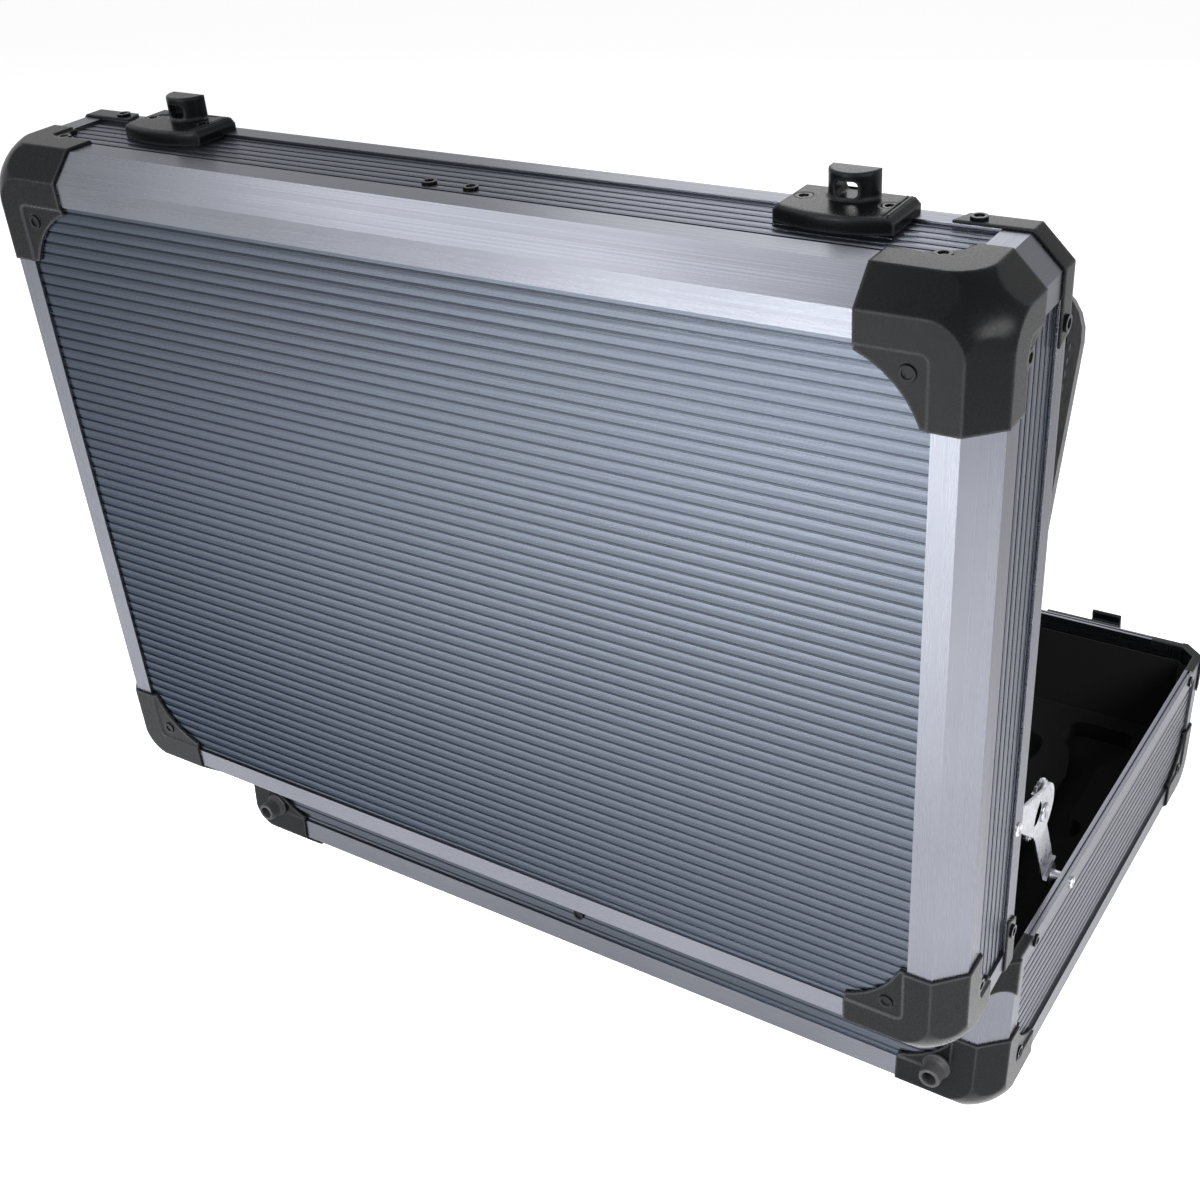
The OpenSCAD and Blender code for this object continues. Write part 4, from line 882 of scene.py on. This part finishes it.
def add_bands():
    """The elastic bands for tools, and the thread that holds them and the tape down."""
    bands = bmesh.new()
    thread = bmesh.new()
    for band in BANDS:
        y, reach, loops = band["y"], band["reach"], band["loops"]
        add(bands, elastic(**band))
        for i in range(loops + 1):
            x = -reach + 2 * reach * i / loops
            x = min(max(x, -reach + TACK_INSET), reach - TACK_INSET)
            sew(thread, (x, y - TACK_REACH), (x, y + TACK_REACH), BOARD_HALF_T + TACK_RISE, **TACK)
    edge = board_outline(SEAM_INSET)
    for face in (1, -1):
        for (x0, y0, r0), (x1, y1, r1) in zip(edge, edge[1:] + edge[:1]):
            start, end = Vector((x0, y0)), Vector((x1, y1))
            run = (end - start).normalized()
            sew(thread, start + r0 * run, end - r1 * run, face * (BOARD_HALF_T + BINDING_T), **SEAM)
    piece("organizer_bands", placed(bands, ORGANIZER), "organizer", ELASTIC, radius=0.2)
    piece("organizer_stitches", placed(thread, ORGANIZER), "organizer", THREAD, radius=0.02)


# Keepers: drawn on the lid's front wall, x along it, y away from the rim and z outwards

LATCH_X = pivot("right_hasp_pivot")[X]
KEEPER_TOP = 4.5
BLOCK_TOP = 14.0
BLOCK_HALF_W = 9
BLOCK_BACK = 3
BLOCK_FRONT = 14
BLOCK_MARGIN = 0.1
BLOCK_BACK_ROUND = 1.6
BLOCK_TOP_ROUND = 2.4
BLOCK_FILLET = 1.3
BOW_FROM = 23.2
BOW_ROUND = 1.9
SAME_PLACE = 0.02
RIDGE_PLACES = (-17.3, -18.9)
RIDGE = {"y": 12.4, "width": 0.7, "length": 20.5, "rounding": 0.3}
RIDGE_H = 0.45


def all_ends(edge, test):
    """Whether a test of x, y and z in millimetres holds at both ends of an edge."""
    return all(test(*(point.co / MM)) for point in edge.verts)


def on_keeper_top(x, y, z):
    return abs(z - KEEPER_TOP) < SAME_PLACE


def on_back_corner(x, y, z):
    return abs(abs(x) - BLOCK_HALF_W) < SAME_PLACE and abs(y - BLOCK_BACK) < SAME_PLACE


def at_block_foot(x, y, z):
    inside = BLOCK_BACK - BLOCK_MARGIN < y < BLOCK_FRONT + BLOCK_MARGIN
    return inside and abs(x) < BLOCK_HALF_W + BLOCK_MARGIN and on_keeper_top(x, y, z)


def add_keeper(node, x):
    """A keeper with a rounded block, a soft fillet round its foot and two ridges across one end."""
    across = Matrix(((1, 0, 0, 0), (0, 0, -1, 0), (0, -1, 0, 0), (0, 0, 0, 1)))
    place = LID @ at(x, -HALF_D, 0) @ across
    shape = merged(node)
    shape.transform(place.inverted())
    round_edges(shape, [e for e in shape.edges if all_ends(e, on_back_corner)], BLOCK_BACK_ROUND)
    top = [e for e in shape.edges if all_ends(e, lambda x, y, z: abs(z - BLOCK_TOP) < SAME_PLACE)]
    round_edges(shape, [e for e in top if e.calc_face_angle(0) > SHARP_ANGLE], BLOCK_TOP_ROUND, segments=4)
    foot = [e for e in shape.edges if all_ends(e, at_block_foot)]
    round_edges(shape, [e for e in foot if e.calc_face_angle_signed(0) < -SHARP_ANGLE], BLOCK_FILLET)
    bow = [e for e in shape.edges if all_ends(e, lambda x, y, z: y > BOW_FROM and on_keeper_top(x, y, z))]
    round_edges(shape, [e for e in bow if e.calc_face_angle_signed(0) > SHARP_ANGLE], BOW_ROUND, segments=2)
    for ridge_x in RIDGE_PLACES:
        add(shape, plate(rectangle(ridge_x, **RIDGE), RIDGE_H), at(0, 0, KEEPER_TOP - SUNK))
    piece(node.replace("keeper", "keeper_casting"), placed(shape, place), "lid", ENAMEL, node, radius=0.35)


# Feet, handle and stays: a profile is (radius, height) points

FOOT_X = 200
FOOT_RISE = 27
FOOT_CAP_T = 1.2
HALF_HEIGHT = {"base": 90.8, "lid": 63}
FOOT_PROFILE = [
    (0, -0.2), (6.5, -0.2), (6.5, 0.9), (6.1, 1.3), (5.9, 2.2), (5.4, 3.1), (5.1, 4.2), (5.0, 8.7),
    (4.75, 9.4), (4.3, 9.8), (3.8, 9.9), (3.35, 9.6), (3.2, 9.0), (3.1, 3.0), (0, 2.8)
]


def add_feet():
    """Short tubes on the rear caps, on which the case stands with its handle up."""
    for body, place in (("base", BASE), ("lid", LID)):
        shape = bmesh.new()
        for s in (-1, 1):
            spot = at(s * FOOT_X, HALF_D + FOOT_CAP_T, FOOT_RISE - HALF_HEIGHT[body]) @ turned(-90, "X")
            add(shape, turned_shape(FOOT_PROFILE, steps=36), spot)
        piece(body + "_tube_feet", placed(shape, place), body, RUBBER, body + "_feet", radius=0.12)


GRIP_Y, GRIP_Z = -2.5, -36
ARM_X = 62
ARM_T = 7.6
ARM_CORNERS = [(-5.3, 0, 2.5), (5.3, 0, 2.5), (GRIP_Y + 6.6, GRIP_Z - 3, 4), (GRIP_Y - 6.6, GRIP_Z - 3, 4)]
ARM_EDGE = 1.5
BOSS_PROFILE = [(2.6, -4.5), (4.9, -4.5), (5.5, -3.9), (5.5, 3.9), (4.9, 4.5), (2.6, 4.5)]
GRIP_END = [(0, 66.4), (5.2, 66.4), (6.6, 65.6), (7, 64), (7, 50), (7.3, 48.4), (8.4, 46), (9, 43.5)]
GRIP_R = 9
RING_R = 8.55
RING_COUNT = 8
RING_FIRST = 39
RING_PITCH = 5
RING_HALF_W = 1.2
RING_FLOOR_HALF_W = 0.7


def add_handle():
    """The carry handle: two arms with round bosses, and a thick grip with fine rings."""
    shape = bmesh.new()
    for s in (-1, 1):
        blade = plate(ARM_CORNERS, ARM_T)
        round_edges(blade, [e for e in blade.edges if e.calc_face_angle(0) > SHARP_ANGLE], ARM_EDGE)
        add(shape, blade, at(s * ARM_X - ARM_T / 2, 0, 0) @ UPRIGHT)
        boss = turned_shape(BOSS_PROFILE, steps=32)
        bmesh.ops.bridge_loops(boss, edges=[e for e in boss.edges if e.is_boundary])
        bmesh.ops.recalc_face_normals(boss, faces=boss.faces)
        add(shape, boss, at(s * ARM_X, 0, 0) @ turned(90, "Y"))
    half = list(GRIP_END)
    for i in range(RING_COUNT):
        x = RING_FIRST - i * RING_PITCH
        half += [(GRIP_R, x + RING_HALF_W), (RING_R, x + RING_FLOOR_HALF_W)]
        half += [(RING_R, x - RING_FLOOR_HALF_W), (GRIP_R, x - RING_HALF_W)]
    grip = turned_shape(half + [(r, -x) for r, x in reversed(half)])
    add(shape, grip, at(0, GRIP_Y, GRIP_Z) @ turned(90, "Y"))
    place = at(*pivot("handle_pivot"))
    piece("moulded_handle", placed(shape, place), "handle", HANDLE_PLASTIC, "carry_handle", radius=0.15)


STAY_BASE = Vector(pivot("right_lower_link_pivot")[Y:])
STAY_LID = Vector(pivot("right_upper_link_pivot")[Y:])
LINK_LENGTH = 68.114
LOWER_X = 216.0
UPPER_X = 219.0
FOOT_BEND = 7.2
STEP_X = 8.6
LOWER_HALF_W = 6.8
LOWER_FOOT_HALF_W = 5
LOWER_T = 1.4
STEP_H = 2.9
BEAD = (18, 50)
BEAD_HALF_W = 3
BEAD_T = 0.6
TEETH = {"radius": 14.3, "inner": 12.9, "segments": 44, "thickness": 1.6}
UPPER_HALF_W = 6
UPPER_T = 1.5
NECK = (34, LINK_LENGTH - 7)
NECK_HALF_W = 11.2
NECK_T = 1.3
HEAD = {"radius": 13.2, "segments": 44, "thickness": UPPER_T}
STUD_PROFILE = [(0, 1.9), (2.2, 1.95), (2.7, 2.7), (3.9, 2.6), (4.5, 2.0), (4.5, 1.2), (0, 1.2)]


def stay_middle():
    """Where the two links of the open stay meet: a link's length from both ends, towards the front and up."""
    half = (STAY_LID - STAY_BASE) / 2
    rise = math.sqrt(LINK_LENGTH ** 2 - half.length_squared)
    return STAY_BASE + half + rise * Vector((-half.y, half.x)).normalized()


def along_link(start, end, x):
    """Places a shape drawn along +x at a link: its plane is at x, its thickness towards the wall."""
    heading = math.degrees(math.atan2(end[1] - start[1], end[0] - start[0]))
    return at(x, *start) @ UPRIGHT @ turned(heading, "Z")


def strip(start, end, half_w, start_rounding, end_rounding):
    """Corners of a strip along x."""
    return [
        (start, -half_w, start_rounding), (end, -half_w, end_rounding), (end, half_w, end_rounding),
        (start, half_w, start_rounding)
    ]


def disc(radius, thickness, segments, inner=None):
    """A round plate; with an inner radius, every second corner is drawn in to it, which makes teeth."""
    shape = bmesh.new()
    bmesh.ops.create_circle(shape, cap_ends=True, segments=segments, radius=radius * MM)
    if inner:
        for point in list(shape.verts)[::2]:
            point.co *= inner / radius
    return raise_flat(shape, thickness)


def lower_link():
    """A stay's lower link: a pressed arm, stepped towards the wall at its foot, with a toothed disc."""
    arm = strip(FOOT_BEND, LINK_LENGTH, LOWER_HALF_W, start_rounding=0.5, end_rounding=3)
    bead = strip(*BEAD, BEAD_HALF_W, start_rounding=2.5, end_rounding=2.5)
    step = strip(FOOT_BEND, STEP_X, LOWER_HALF_W, start_rounding=0.2, end_rounding=0.2)
    foot = strip(-LOWER_FOOT_HALF_W, STEP_X, LOWER_FOOT_HALF_W, start_rounding=4.8, end_rounding=0.5)
    shape = plate(arm, LOWER_T)
    add(shape, plate(bead, BEAD_T), at(0, 0, SUNK - BEAD_T))
    add(shape, plate(step, STEP_H))
    add(shape, plate(foot, LOWER_T), at(0, 0, STEP_H - LOWER_T))
    add(shape, disc(**TEETH), at(LINK_LENGTH, 0, (LOWER_T - TEETH["thickness"]) / 2))
    return shape


def upper_link():
    """A stay's upper link: an arm that widens to a round head, with a dished stud through it."""
    arm = strip(-UPPER_HALF_W, LINK_LENGTH - UPPER_HALF_W, UPPER_HALF_W, UPPER_HALF_W, UPPER_HALF_W)
    shape = plate(arm, UPPER_T)
    start, end = NECK
    low = [(start, -UPPER_HALF_W, 0), (end, -NECK_HALF_W, 0)]
    neck = low + [(x, -y, rounding) for x, y, rounding in reversed(low)]
    add(shape, plate(neck, NECK_T), at(0, 0, (UPPER_T - NECK_T) / 2))
    add(shape, disc(**HEAD), at(LINK_LENGTH, 0, 0))
    add(shape, turned_shape(STUD_PROFILE, steps=28), at(LINK_LENGTH, 0, 0))
    return shape


def add_stays():
    """Both stays, each of a lower and an upper link."""
    middle = stay_middle()
    mirrored = Matrix.Scale(-1, 4, (1, 0, 0))
    for side, turn in (("right", Matrix.Identity(4)), ("left", mirrored)):
        low = placed(lower_link(), turn @ along_link(STAY_BASE, middle, LOWER_X))
        piece(side + "_lower_arm", low, side + "_lower_link", ZINC, side + "_stay_lower_link", radius=0.25)
        high = placed(upper_link(), turn @ along_link(STAY_LID, middle, UPPER_X))
        piece(side + "_toothed_arm", high, side + "_upper_link", ZINC, side + "_stay_upper_link", radius=0.2)


STAY_RIVET_Y = 79
STAY_RIVET_DOWN = {"base": 6.5, "lid": 5.2}
RIVET_PROFILE = [
    (0, -0.3), (2.9, -0.3), (3, 0.1), (2.85, 0.6), (2.4, 0.95), (1.8, 1.0), (1.5, 0.7), (1.2, 0.45), (0, 0.4)
]


def add_stay_rivets():
    """The silver heads outside the walls that hold the stays' pivots."""
    for body, place in (("base", BASE), ("lid", LID)):
        shape = bmesh.new()
        for s in (-1, 1):
            spot = at(s * HALF_W, STAY_RIVET_Y, -STAY_RIVET_DOWN[body]) @ turned(90 * s, "Y")
            add(shape, turned_shape(RIVET_PROFILE, steps=28), spot)
        piece(body + "_stay_rivets", placed(shape, place), body, SILVER_RIVET, radius=0.1)


def add_pieces():
    add_foam()
    add_linings()
    add_board()
    add_bands()
    add_keeper("left_keeper", -LATCH_X)
    add_keeper("right_keeper", LATCH_X)
    add_feet()
    add_handle()
    add_stays()
    add_stay_rivets()


add_camera()
bpy.context.scene.view_settings.view_transform = "Standard"
add_world()
add_lights()
add_floor()
dress_frame()
add_pieces()
